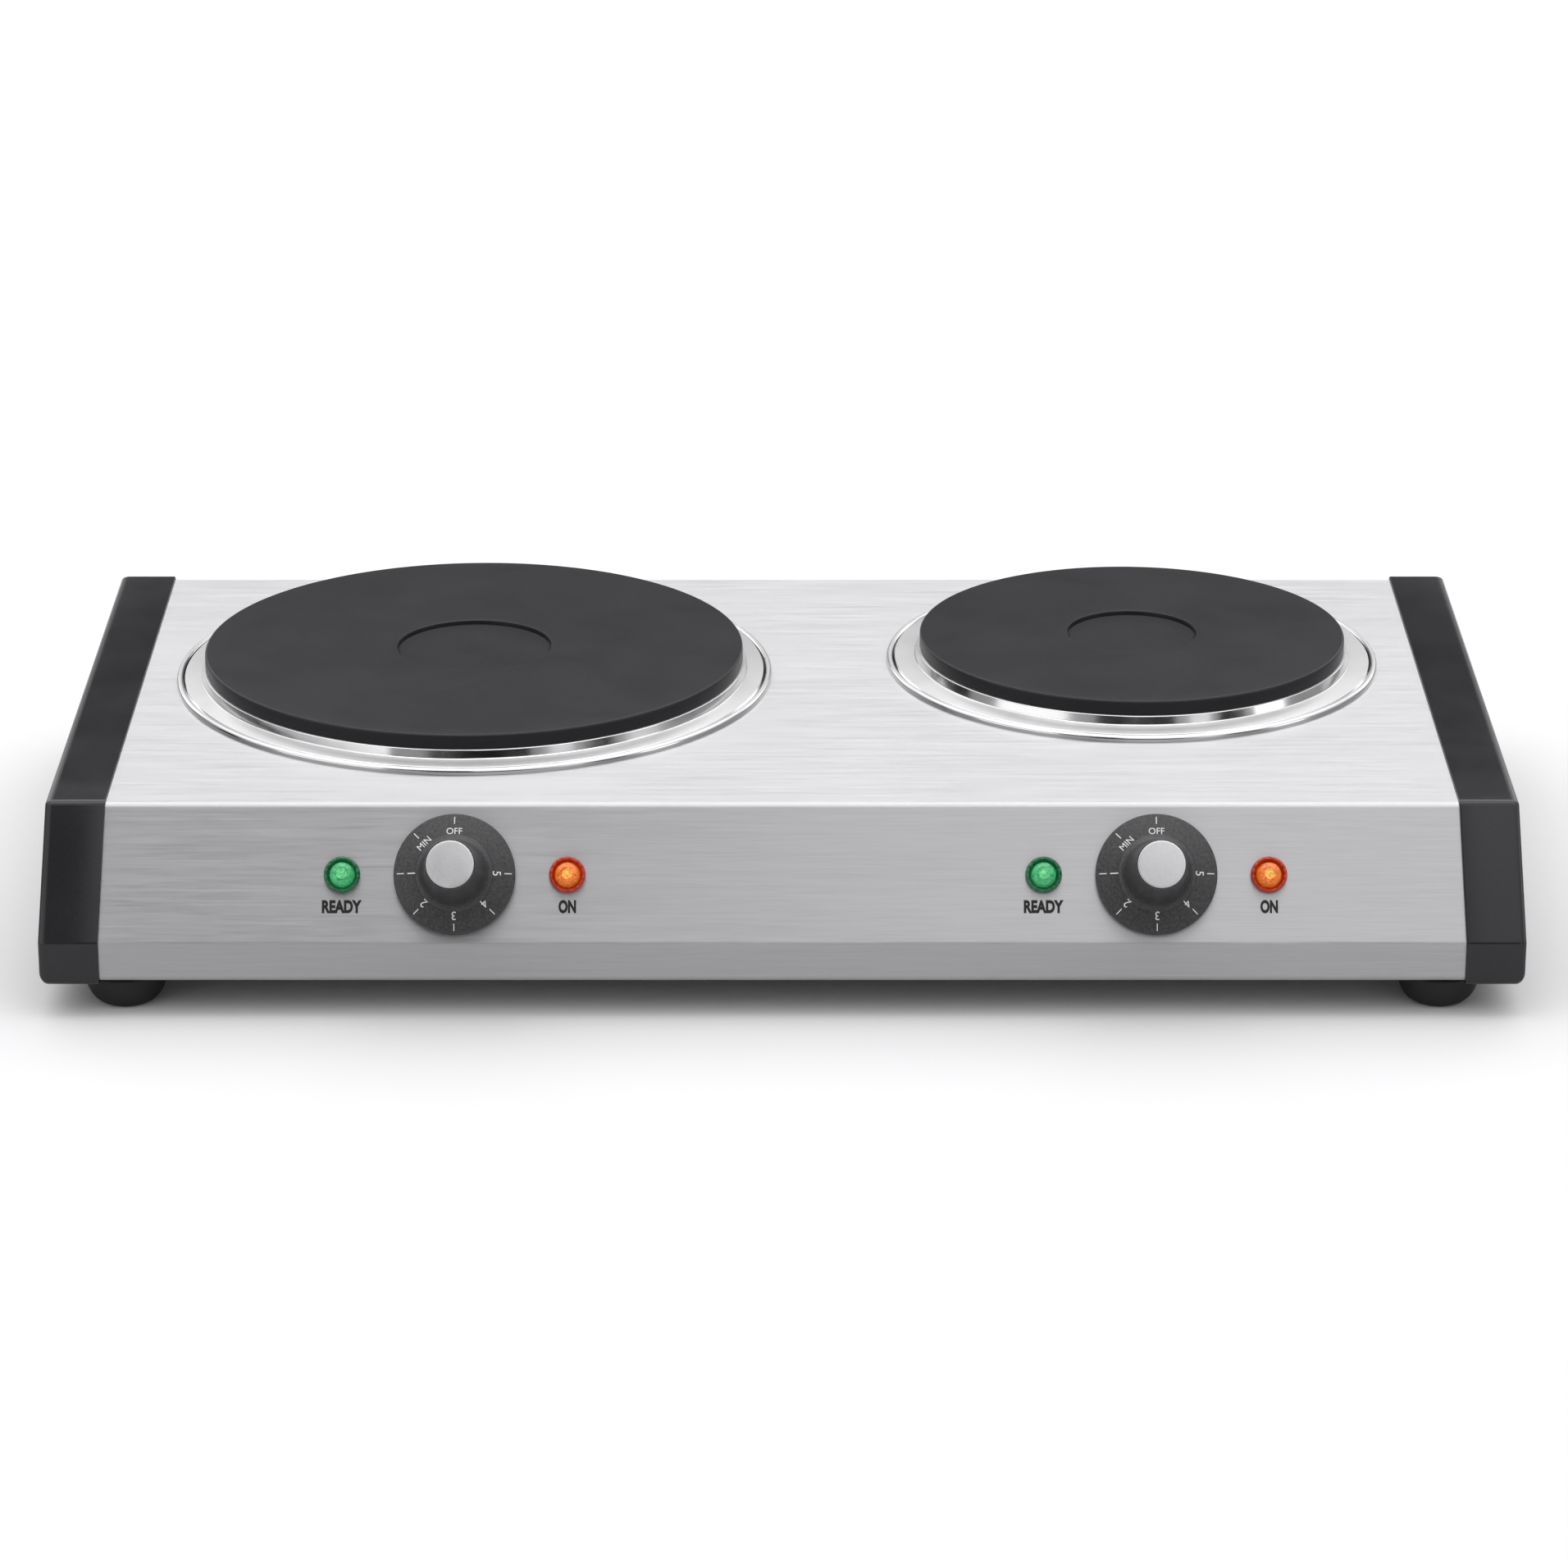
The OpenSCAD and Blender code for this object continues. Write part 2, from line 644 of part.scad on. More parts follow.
// Three blades with wire tabs, their contacts, and the rivet through the stack
module contact_blades(x) {
    rivet_end = blade_z(2) - blade_t - 2.6;
    color("goldenrod") on_panel(x) {
        for (k = [0:2]) difference() {
            union() {
                translate([contact_x - 3, -3, blade_z(k) - blade_t])
                    cube([stack_x + 6 - contact_x, 6, blade_t]);
                translate([stack_x - 3, tab_end, blade_z(k) - blade_t]) cube([6, -tab_end, blade_t]);
                if (k < 2) translate([contact_x, 0, blade_z(k) - blade_t - 1.15]) cylinder(r = 1.8, h = 1.3);
                if (k > 0) translate([contact_x, 0, blade_z(k) - 0.1]) cylinder(r = 1.8, h = 1.25);
            }
            translate([stack_x, 0, blade_z(k) - 2]) cylinder(r = rivet_r + touch, h = 4);
        }
        translate([stack_x, 0, rivet_end]) cylinder(r = rivet_r, h = -sheet_t - touch - 0.1 - rivet_end);
        translate([stack_x, 0, rivet_end - 1]) cylinder(r = 2.6, h = 1.1);
    }
}

module thermostat_screws() {
    for (x = [left_x, right_x], side = [-1, 1]) color("gainsboro") on_panel(x)
        translate([side * thermostat_screw_x, 0, touch]) screw(tap_screw_r, 5, 2.8, 1.5);
}

// ---- lamps ----

module lens(x) {
    steps = 8;
    dome = [for (k = [0:steps]) let (a = 90 * k / steps)
        [(lens_r - 0.6) * cos(a), 1.1 + (lens_h - 1.1) * sin(a)]];
    outline = concat([[lens_r, touch], [lens_r, 0.8], [lens_r - 0.3, 1.1]], dome, [
        [0, 2.4], [lamp_bore_r - 0.6, 1.8], [lamp_bore_r, 0.8], [lamp_bore_r, -lamp_tube_l],
        [lamp_tube_r, -lamp_tube_l], [lamp_tube_r, touch]
    ]);
    on_panel(x) rotate_extrude() polygon(outline);
}

// Neon bulbs, each on the plug that closes its lens from behind
module neon_lamps() {
    color([1, 0.8, 0.6]) for (x = [left_x, right_x], side = [-1, 1]) on_panel(x + side * lamp_pitch)
        rotate_extrude() polygon([
            [0, touch - lamp_tube_l], [lamp_bore_r - touch, touch - lamp_tube_l],
            [lamp_bore_r - touch, 3 - lamp_tube_l], [2.4, 3 - lamp_tube_l], [2.4, -2], [1, 0], [0, 0.3]
        ]);
}

module lamp_clips() {
    color("gainsboro") for (x = [left_x, right_x], side = [-1, 1]) on_panel(x + side * lamp_pitch)
        translate([0, 0, -sheet_t - touch - 1.2]) difference() {
            cylinder(r = 7.6, h = 1.2);
            translate([0, 0, -1]) cylinder(r = lamp_tube_r + touch, h = 4);
        }
}

// ---- mains entry and wiring ----

module cord_gland() {
    color([0.1, 0.1, 0.11]) on_rear(gland_x, gland_s) rotate_extrude() polygon([
        [gland_bore_r, 2.6 - gland_l], [6.2, 2.6 - gland_l], [6.2, -5.2], [8.6, -5.2], [8.6, -sheet_t * 2 - touch * 3],
        [6.2, -sheet_t * 2 - touch * 3], [6.2, -sheet_t + touch], [9, -sheet_t + touch], [9, 1.2], [7.6, 2.6],
        [gland_bore_r, 2.6]
    ]);
}

module mains_terminal_block() {
    color("ivory") difference() {
        translate([block_x - block_size[0] / 2, block_y - block_size[1] / 2, block_z0]) cube(block_size);
        for (k = [-1:1]) translate([block_x + k * pole_pitch, block_y, pole_z]) {
            rotate([90, 0, 0]) cylinder(r = pole_r, h = 40, center = true);
            for (y = [-4.5, 4.5]) translate([0, y, 0]) cylinder(r = 2.4, h = 20);
        }
        for (side = [-1, 1]) translate([block_x + side * pole_pitch / 2, block_y, block_z0 - 1])
            cylinder(r = tap_screw_r + touch, h = 7);
    }
}

// A brass tube in each pole, with a screw above each of its ends
module block_terminals() {
    color("goldenrod") for (k = [-1:1]) translate([block_x + k * pole_pitch, block_y, pole_z]) {
        rotate([90, 0, 0]) difference() {
            cylinder(r = pole_r - touch, h = 5, center = true);
            cylinder(r = 1.9, h = 9, center = true);
        }
        for (y = [-4.5, 4.5]) translate([0, y, 3.3]) cylinder(r = 2.3, h = 2.2);
    }
}

module block_screws() {
    color("gainsboro") for (side = [-1, 1])
        translate([block_x + side * pole_pitch / 2, block_y, base_z + sheet_t])
            mirror([0, 0, 1]) screw(tap_screw_r, 6, 3, 1.9);
}

module earth_screw() {
    color("gainsboro") translate([earth_at[0], earth_at[1], floor_z + 1 + 2 * touch])
        screw(tap_screw_r, 4, 3, 1.9);
}

// Wires start inside the block's front openings
function pole_way(k, offset) = let (x = block_x + k * pole_pitch + offset) [
    [x, block_y - 5, pole_z], [x, block_y - 10, pole_z], [x, block_y - 15, pole_z - 0.5]
];

// Wires leave a blade's tab downwards, offset sideways along its end
function tab_way(x, k, offset) = [
    for (v = [tab_end - 0.1, tab_end - 3, tab_end - 5])
        panel_point(x, stack_x + offset, v, blade_z(k) - blade_t / 2)
];

// Wires drop straight out of a plate's terminal block
function terminal_way(p, side) = [for (down = [0, 5, 10]) terminal_point(p, side, down)];

module live_wires() {
    color("black") {
        tube(smooth(concat(tab_way(left_x, 0, 0), [
            [-85.5, -113, low + 0.5], [-80, -100, low], [-40, -50, low], [-8, -10, low], [3, 30, low + 2]
        ], reversed(pole_way(-1, -1.4)))), wire_r);
        tube(smooth(concat(tab_way(right_x, 0, 0), [
            [148, -113, low + 0.5], [140, -98, low], [70, -50, low], [25, 0, low], [9, 32, low + 2]
        ], reversed(pole_way(-1, 1.4)))), wire_r);
    }
}

module neutral_wires() {
    color("white") {
        tube(smooth(concat(terminal_way(large, 1), [
            [-80, -35, 30], [-40, -5, 25], [-2, 18, 27]
        ], reversed(pole_way(0, -1.4)))), wire_r);
        tube(smooth(concat(terminal_way(small, -1), [
            [98, -5, 30], [60, 15, 22], [32, 28, 22]
        ], reversed(pole_way(0, 1.4)))), wire_r);
    }
}

// From each thermostat to its plate's cut-out, and from there to the plate
module switched_wires() {
    color("firebrick") for (p = [large, small]) {
        out = sign(p[0]);
        fuse = cutoff_point(p);
        reach = (cutoff_lead + 0.3) * out;
        tube(smooth(concat(tab_way(p[0], 2, 1), [
            [p[0] + 28, -98, 26], [p[0] - out * 30, -62, 34], [p[0] - out * 50, -20, 38],
            [fuse[0] - out * 32, 40, 42], [fuse[0] - out * 30, fuse[1] - 8, 50],
            fuse - [reach + 6 * out, 0, 0.5], fuse - [reach, 0, 0]
        ])), wire_r);
        tube(smooth(concat([
            fuse + [reach, 0, 0], fuse + [reach + 6 * out, 0, -0.5], [p[0] + out * 20, 60, 47],
            [p[0] + out * 34, 30, 44], [p[0] + out * 36, -5, 42]
        ], reversed(terminal_way(p, out)))), wire_r);
    }
}

// The earth wire and its ring terminal
module earth_wire() {
    ring = [earth_at[0], earth_at[1], floor_z + touch];
    color("green") {
        tube(smooth(concat(pole_way(1, 0), [
            [block_x + 18, block_y - 20, pole_z - 2], [44, 44, low + 1], [51.6, 49, low], ring + [0, -4.3, wire_r]
        ])), wire_r);
        translate(ring) difference() {
            cylinder(r = 4, h = 1);
            translate([0, 0, -1]) cylinder(r = tap_screw_r + touch, h = 4);
        }
    }
}

// Two leads behind each lamp, to the thermostat's blades and, from the lamp on the right, to the plate
module lamp_leads() {
    color("gray") for (p = [large, small]) {
        x = p[0];
        ready = -lamp_pitch;
        on = lamp_pitch;
        back = -lamp_tube_l;
        for (s = [-1, 1]) tube(smooth(concat(
            [for (w = [-0.1, -3]) panel_point(x, ready + s * 1.5, 0, back + w)],
            [
                panel_point(x, ready + 4 + s * 1.5, -6, -22 - s * 1.5), panel_point(x, -12, -12 - s * 2, -27),
                panel_point(x, 14, -17.5 - s, -27)
            ],
            reversed(s < 0 ? tab_way(x, 2, -1.7) : tab_way(x, 1, -1.4))
        ), 3), lead_r, 6);
        tube(smooth(concat(
            [for (w = [-0.1, -3]) panel_point(x, on - 1.5, 0, back + w)],
            [panel_point(x, on - 3, -8, -21), panel_point(x, stack_x + 6, -21, -17)],
            reversed(tab_way(x, 1, 1.4))
        ), 3), lead_r, 6);
        tube(smooth(concat(
            [for (w = [-0.1, -3]) panel_point(x, on + 1.5, 0, back + w)],
            [[x + on + 6, -88, 38], [x + on, -60, 40]],
            [
                terminal_point(p, -sign(x), 14) - [0, 8, 0], terminal_point(p, -sign(x), 5) - [0, 2.5, 0],
                terminal_point(p, -sign(x), 0) - [0, 2.2, 0]
            ]
        ), 3), lead_r, 6);
    }
}

// ---- knobs ----

module knob(x) {
    bell = smooth([[12.6, 5.1], [10.9, 6.4], [9.9, 10], [9.2, 16], [8.7, 23], [8.5, knob_h - 0.8]], 4);
    outline = concat(
        [[18.6, 1.2], [skirt_r, 1.2], [skirt_r, 2.3], [skirt_r - 0.6, 2.9]], bell,
        [[8.1, knob_h - 0.3], [knob_cap_r + touch, knob_h - 0.3], [knob_cap_r + touch, knob_h - 1.3],
         [0, knob_h - 1.3], [0, 2.2], [6.2, 2.2], [6.6, 3.4], [17.9, 2.5]]
    );
    color([0.15, 0.15, 0.16]) on_panel(x) difference() {
        rotate_extrude() polygon(outline);
        difference() {
            translate([0, 0, -1]) cylinder(r = spindle_r + touch, h = spindle_tip + 1.3);
            translate([-5, spindle_r - spindle_flat + touch, 5]) cube([10, 10, 30]);
        }
    }
}

module knob_cap(x) {
    color("silver") on_panel(x) rotate_extrude() polygon([
        [0, knob_h - 1.25], [knob_cap_r, knob_h - 1.25], [knob_cap_r, knob_h - 0.3], [knob_cap_r - 0.3, knob_h],
        [0, knob_h]
    ]);
}

// The thermostat's spindle, with the tab that meets the stop at each end of the turn
module spindle(x) {
    color("gainsboro") on_panel(x) difference() {
        union() {
            translate([0, 0, spindle_end]) cylinder(r = spindle_r, h = spindle_tip - spindle_end);
            translate([0, 0, collar_z]) cylinder(r = 5.5, h = collar_t);
            rotate([0, 0, tab_at - tab_half]) rotate_extrude(angle = 2 * tab_half)
                translate([5, collar_z]) square([stop_r - 5.2, collar_t]);
        }
        translate([-5, spindle_r - spindle_flat, 5]) cube([10, 10, 30]);
    }
}

housing_shell();
rear_panel();
base_plate();
mirror([1, 0, 0]) end_cap();  // end_cap_left
end_cap();  // end_cap_right
foot(-1, front_y + foot_inset);  // foot_front_left
foot(1, front_y + foot_inset);  // foot_front_right
foot(-1, rear_y - foot_inset);  // foot_back_left
foot(1, rear_y - foot_inset);  // foot_back_right
foot_screws();
housing_screws();
hot_plate(large);  // hot_plate_large
hot_plate(small);  // hot_plate_small
trim_ring(large);  // trim_ring_large
trim_ring(small);  // trim_ring_small
heating_element(large);  // heating_element_large
heating_element(small);  // heating_element_small
ceramic_filler(large);  // ceramic_filler_large
ceramic_filler(small);  // ceramic_filler_small
plate_cover(large);  // plate_cover_large
plate_cover(small);  // plate_cover_small
clamp_bar(large);  // clamp_bar_large
clamp_bar(small);  // clamp_bar_small
plate_stud(large);  // plate_stud_large
plate_stud(small);  // plate_stud_small
clamp_nuts();
plate_terminal(large);  // plate_terminal_large
plate_terminal(small);  // plate_terminal_small
thermal_cutoffs();
cutoff_clips();
thermostat_frame(left_x);  // thermostat_frame_left
thermostat_frame(right_x);  // thermostat_frame_right
thermostat_stack(left_x);  // thermostat_stack_left
thermostat_stack(right_x);  // thermostat_stack_right
contact_blades(left_x);  // contact_blades_left
contact_blades(right_x);  // contact_blades_right
thermostat_screws();
color("green") lens(left_x - lamp_pitch);  // ready_lens_left
color("orangered") lens(left_x + lamp_pitch);  // on_lens_left
color("green") lens(right_x - lamp_pitch);  // ready_lens_right
color("orangered") lens(right_x + lamp_pitch);  // on_lens_right
neon_lamps();
lamp_clips();
mains_terminal_block();
block_terminals();
block_screws();
earth_screw();
cord_gland();
live_wires();
neutral_wires();
switched_wires();
earth_wire();
lamp_leads();
knob(left_x);  // knob_left
knob_cap(left_x);  // knob_cap_left
spindle(left_x);  // spindle_left
knob(right_x);  // knob_right
knob_cap(right_x);  // knob_cap_right
spindle(right_x);  // spindle_right
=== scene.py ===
"""Looks of the double hot plate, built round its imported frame.

Lengths are metres. Names that end in _mm or _MM, and outlines that go through in_mm, are millimetres.
"""
import json
import math

import bmesh
import bpy
from mathutils import Matrix, Vector


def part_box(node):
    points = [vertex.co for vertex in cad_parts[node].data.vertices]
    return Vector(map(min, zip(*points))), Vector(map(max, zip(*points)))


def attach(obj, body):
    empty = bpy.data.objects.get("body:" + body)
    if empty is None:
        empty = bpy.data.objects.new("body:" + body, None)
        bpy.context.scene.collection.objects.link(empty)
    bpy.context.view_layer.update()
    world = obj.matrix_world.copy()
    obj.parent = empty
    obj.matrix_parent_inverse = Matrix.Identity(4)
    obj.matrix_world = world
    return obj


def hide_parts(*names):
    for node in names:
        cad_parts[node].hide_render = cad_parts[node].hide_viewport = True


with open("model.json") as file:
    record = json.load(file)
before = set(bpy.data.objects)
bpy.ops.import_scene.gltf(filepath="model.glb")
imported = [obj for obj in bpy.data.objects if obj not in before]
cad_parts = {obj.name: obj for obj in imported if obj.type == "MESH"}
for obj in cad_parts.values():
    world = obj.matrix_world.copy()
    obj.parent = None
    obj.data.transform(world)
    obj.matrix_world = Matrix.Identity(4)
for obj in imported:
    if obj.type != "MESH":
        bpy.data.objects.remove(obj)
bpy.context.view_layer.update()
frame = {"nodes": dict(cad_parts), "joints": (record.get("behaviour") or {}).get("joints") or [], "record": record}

MM = 0.001
scene = bpy.context.scene

# ---- sizes ----

SHEET = 0.8 * MM
FOLD = 2.6 * MM  # outer radius of the housing's folds
BOTTOM_FLANGE = 26 * MM  # the housing's inward flange under its front
REAR_FLANGE = 10 * MM  # the housing's downturn behind its top
CAP_LEAN = 1.7 * MM  # how far an end cap's outer face leans in above the kink
CAP_WIDTH = 20 * MM
CAP_WALL = 1.2 * MM

# ---- places, read from the frame ----

housing_low, housing_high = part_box("housing_shell")
cap_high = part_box("end_cap_right")[1]
joints = {joint["name"].split("_")[0]: joint for joint in frame["joints"]}
cord_entry = [mount for mount in frame["record"]["mounts"] if mount["name"] == "cord_entry"][0]

inward = Vector(joints["left"]["axis"])
panel_tilt = math.atan2(-inward.z, inward.y)
knob_at = {side: Vector(joint["pos_m"]) for side, joint in joints.items()}
rear_way = Vector(cord_entry["axis"])
rear_tilt = math.atan2(rear_way.z, rear_way.y)

# The corners of the housing's side view
front_y = housing_low.y
base_z = housing_low.z
top_z = housing_high.z
kink_z = knob_at["left"].z - (knob_at["left"].y - front_y) / math.tan(panel_tilt)
top_front_y = knob_at["left"].y + (top_z - knob_at["left"].z) * math.tan(panel_tilt)
top_back_y = housing_high.y - REAR_FLANGE * math.sin(rear_tilt)
cap_proud = cap_high.z - top_z


def middle(node):
    """The middle of a CAD node's box."""
    low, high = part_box(node)
    return (low + high) / 2


def half_width(node):
    """Half of a CAD node's width: the radius of a round one."""
    low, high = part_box(node)
    return (high.x - low.x) / 2


# ---- camera ----

LENS_MM = 134.07
SENSOR_MM = 36
CAMERA_AT = (0.0006, -1.932, 0.7445)
CAMERA_DIP = 20.14  # degrees below level
FARTHEST = 100


def add_camera():
    """The main view: a long lens in front, looking a little down."""
    data = bpy.data.cameras.new("camera")
    data.lens = LENS_MM
    data.sensor_width = SENSOR_MM
    data.clip_end = FARTHEST
    camera = bpy.data.objects.new("camera", data)
    camera.location = CAMERA_AT
    camera.rotation_euler = (math.radians(90 - CAMERA_DIP), 0, 0)
    scene.collection.objects.link(camera)
    scene.camera = camera


add_camera()

# ---- node helpers ----

def fill_ramp(node, stops):
    """Sets a ramp's stops from a list of (position, value or colour)."""
    elements = node.color_ramp.elements
    while len(elements) < len(stops):
        elements.new(0.5)
    for element, (position, value) in zip(elements, stops):
        element.position = position
        colour = value if hasattr(value, "__len__") else (value, value, value)
        element.color = (*colour[:3], 1)


class Nodes:
    """A short way to write a material's node tree."""

    def __init__(self, name):
        self.material = bpy.data.materials.new(name)
        self.material.use_nodes = True
        self.tree = self.material.node_tree
        self.tree.nodes.clear()
        output = self.add("ShaderNodeOutputMaterial")
        self.shader = self.add("ShaderNodeBsdfPrincipled")
        self.link(self.shader.outputs["BSDF"], output.inputs["Surface"])
        coordinates = self.add("ShaderNodeTexCoord")
        self.place = coordinates.outputs["Object"]
        self.facing = coordinates.outputs["Normal"]

    def add(self, kind, **values):
        node = self.tree.nodes.new(kind)
        for key, value in values.items():
            setattr(node, key, value)
        return node

    def link(self, a, b):
        self.tree.links.new(a, b)

    def set(self, **values):
        """Plain values on the shader's own sockets; an underscore stands for a space."""
        for key, value in values.items():
            self.shader.inputs[key.replace("_", " ")].default_value = value

    def stretched(self, scale):
        """The place in the object, with its own scale along each axis."""
        mapping = self.add("ShaderNodeMapping")
        mapping.inputs["Scale"].default_value = scale
        self.link(self.place, mapping.inputs["Vector"])
        return mapping.outputs["Vector"]

    def noise(self, scale, detail=3, rough=0.55, where=None, distortion=0):
        node = self.add("ShaderNodeTexNoise")
        node.inputs["Scale"].default_value = scale
        node.inputs["Detail"].default_value = detail
        node.inputs["Roughness"].default_value = rough
        node.inputs["Distortion"].default_value = distortion
        self.link(where or self.place, node.inputs["Vector"])
        return node.outputs["Fac"]

    def ramp(self, fac, stops):
        """stops is a list of (position, value or colour)."""
        node = self.add("ShaderNodeValToRGB")
        fill_ramp(node, stops)
        self.link(fac, node.inputs["Fac"])
        return node.outputs["Color"]

    def mix(self, a, b, fac, blend="MIX"):
        """a and b blended. Each of the three is a socket or a plain value."""
        node = self.add("ShaderNodeMix", data_type="RGBA", blend_type=blend)
        for socket, value in (("Factor", fac), ("A", a), ("B", b)):
            target = [s for s in node.inputs if s.name == socket and s.enabled][0]
            if isinstance(value, bpy.types.NodeSocket):
                self.link(value, target)
            else:
                target.default_value = value if socket == "Factor" else (*value[:3], 1)
        return [s for s in node.outputs if s.enabled][0]

    def sum(self, a, b, share):
        """a + share * b"""
        node = self.add("ShaderNodeMath", operation="MULTIPLY_ADD")
        self.link(b, node.inputs[0])
        node.inputs[1].default_value = share
        self.link(a, node.inputs[2])
        return node.outputs[0]

    def bump(self, height, distance, strength):
        node = self.add("ShaderNodeBump")
        node.inputs["Strength"].default_value = strength
        node.inputs["Distance"].default_value = distance
        self.link(height, node.inputs["Height"])
        self.link(node.outputs["Normal"], self.shader.inputs["Normal"])

    def to(self, socket, output):
        """Feeds one of the shader's own sockets."""
        self.link(output, self.shader.inputs[socket])


def shade(value):
    """A near-neutral grey, a trace violet."""
    return (value * 1.001, value * 0.997, value * 1.003)


# ---- materials ----

def brushed_steel(name, tone, rough, spread):
    """Stainless sheet, brushed along X: fine streaks and wider bands in tone, gloss and height."""
    n = Nodes(name)
    streaks = n.noise(1, detail=4, rough=0.6, where=n.stretched((45, 1700, 1700)))
    bands = n.noise(1, detail=3, where=n.stretched((14, 480, 480)))
    clouds = n.noise(9, detail=2)
    fine = n.ramp(streaks, [(0.3, shade(tone - spread)), (0.7, shade(tone + spread))])
    wide = n.ramp(bands, [(0.3, shade(0.945)), (0.7, shade(1.0))])
    soft = n.ramp(clouds, [(0.25, shade(0.98)), (0.75, shade(1.0))])
    n.to("Base Color", n.mix(n.mix(fine, wide, 1.0, "MULTIPLY"), soft, 1.0, "MULTIPLY"))
    n.to("Roughness", n.ramp(n.sum(streaks, bands, 0.5), [(0.45, rough - 0.06), (1.05, rough + 0.08)]))
    n.bump(n.sum(streaks, bands, 0.4), 0.012 * MM, 0.32)
    n.set(Metallic=1.0, Anisotropic=0.8)
    tangent = n.add("ShaderNodeTangent", direction_type="RADIAL", axis="X")
    n.link(tangent.outputs["Tangent"], n.shader.inputs["Tangent"])
    return n.material


def polished_metal(name, tone, rough, satin):
    """Spun bright metal: polished on its sloped faces, satin where it lies flat, with a faint haze."""
    n = Nodes(name)
    haze = n.noise(55, detail=4)
    specks = n.noise(1400, detail=2)
    n.to("Base Color", n.ramp(haze, [(0.3, shade(tone - 0.03)), (0.7, shade(tone + 0.02))]))
    polish = n.ramp(n.sum(haze, specks, 0.25), [(0.45, rough * 0.7), (0.85, rough * 1.6)])
    dull = n.ramp(specks, [(0.3, satin - 0.03), (0.7, satin + 0.03)])
    facing = n.add("ShaderNodeSeparateXYZ")
    n.link(n.facing, facing.inputs["Vector"])
    flatness = n.ramp(facing.outputs["Z"], [(0.78, 0), (0.96, 1)])
    n.to("Roughness", n.mix(polish, dull, flatness))
    n.bump(specks, 0.002 * MM, 0.5)
    n.set(Metallic=1.0)
    return n.material


def satin_metal(name, tone, rough):
    """Fine-blasted bright metal: an even sparkle with a soft mottle."""
    n = Nodes(name)
    grain = n.noise(1500, detail=3, rough=0.6)
    cloud = n.noise(90, detail=3)
    fine = n.ramp(grain, [(0.3, shade(tone - 0.03)), (0.7, shade(tone + 0.03))])
    wide = n.ramp(cloud, [(0.3, shade(0.95)), (0.7, shade(1.0))])
    n.to("Base Color", n.mix(fine, wide, 1.0, "MULTIPLY"))
    n.to("Roughness", n.ramp(n.sum(cloud, grain, 0.4), [(0.45, rough - 0.06), (0.95, rough + 0.08)]))
    n.bump(grain, 0.015 * MM, 0.6)
    n.set(Metallic=1.0)
    return n.material


def zinc_sheet(name, tone, rough=0.38):
    """Zinc-plated steel: a fine spangle under a dull, slightly uneven film."""
    n = Nodes(name)
    cells = n.add("ShaderNodeTexVoronoi")
    cells.inputs["Scale"].default_value = 380
    n.link(n.place, cells.inputs["Vector"])
    film = n.noise(24, detail=4)
    grain = n.noise(2400, detail=2)
    spangle = n.ramp(cells.outputs["Color"], [(0.2, shade(tone - 0.035)), (0.8, shade(tone + 0.035))])
    cover = n.ramp(film, [(0.3, shade(0.9)), (0.7, shade(1.0))])
    n.to("Base Color", n.mix(spangle, cover, 1.0, "MULTIPLY"))
    n.to("Roughness", n.ramp(n.sum(film, grain, 0.3), [(0.4, rough - 0.08), (0.95, rough + 0.12)]))
    n.bump(n.sum(grain, film, 0.5), 0.01 * MM, 0.5)
    n.set(Metallic=1.0)
    return n.material


def moulded(name, colour, rough, grain_scale=2400, grain=0.02, gloss=0.5, speckle=0.18):
    """Moulded plastic or rubber: a fine pebbled grain, grain mm high, mottled tone and uneven gloss."""
    n = Nodes(name)
    pebble = n.noise(grain_scale, detail=3, rough=0.6)
    cloud = n.noise(38, detail=3)
    low = [c * (1 - speckle) for c in colour]
    high = [min(1.0, c * (1 + speckle)) for c in colour]
    fine = n.ramp(pebble, [(0.3, low), (0.7, high)])
    wide = n.ramp(cloud, [(0.3, shade(0.95)), (0.7, shade(1.0))])
    n.to("Base Color", n.mix(fine, wide, 1.0, "MULTIPLY"))
    n.to("Roughness", n.ramp(n.sum(cloud, pebble, 0.5), [(0.45, rough - 0.03), (1.05, rough + 0.05)]))
    n.bump(pebble, grain * MM, 0.7)
    n.set(Specular_IOR_Level=gloss)
    return n.material


def coated_iron(name):
    """Cast iron under a baked satin coating: cast grain and dull patches."""
    n = Nodes(name)
    grain = n.noise(1500, detail=5, rough=0.65)
    patches = n.noise(26, detail=4, distortion=0.4)
    specks = n.noise(5200, detail=2)
    fine = n.ramp(grain, [(0.25, (0.0105, 0.0097, 0.011)), (0.75, (0.0175, 0.0165, 0.0185))])
    wide = n.ramp(patches, [(0.3, shade(0.93)), (0.7, shade(1.0))])
    n.to("Base Color", n.mix(fine, wide, 1.0, "MULTIPLY"))
    n.to("Roughness", n.ramp(n.sum(patches, grain, 0.5), [(0.45, 0.32), (1.05, 0.42)]))
    n.bump(n.sum(grain, specks, 0.4), 0.018 * MM, 0.7)
    n.set(Specular_IOR_Level=0.14)
    return n.material


def fired_ceramic(name, colour):
    """Unglazed ceramic: chalky speckle and pores."""
    n = Nodes(name)
    specks = n.noise(2600, detail=3)
    cloud = n.noise(60, detail=3)
    low = [c * 0.9 for c in colour]
    fine = n.ramp(specks, [(0.35, low), (0.6, colour)])
    wide = n.ramp(cloud, [(0.3, shade(0.93)), (0.7, shade(1.0))])
    n.to("Base Color", n.mix(fine, wide, 1.0, "MULTIPLY"))
    n.to("Roughness", n.ramp(cloud, [(0.3, 0.62), (0.7, 0.78)]))
    n.bump(specks, 0.02 * MM, 0.6)
    return n.material


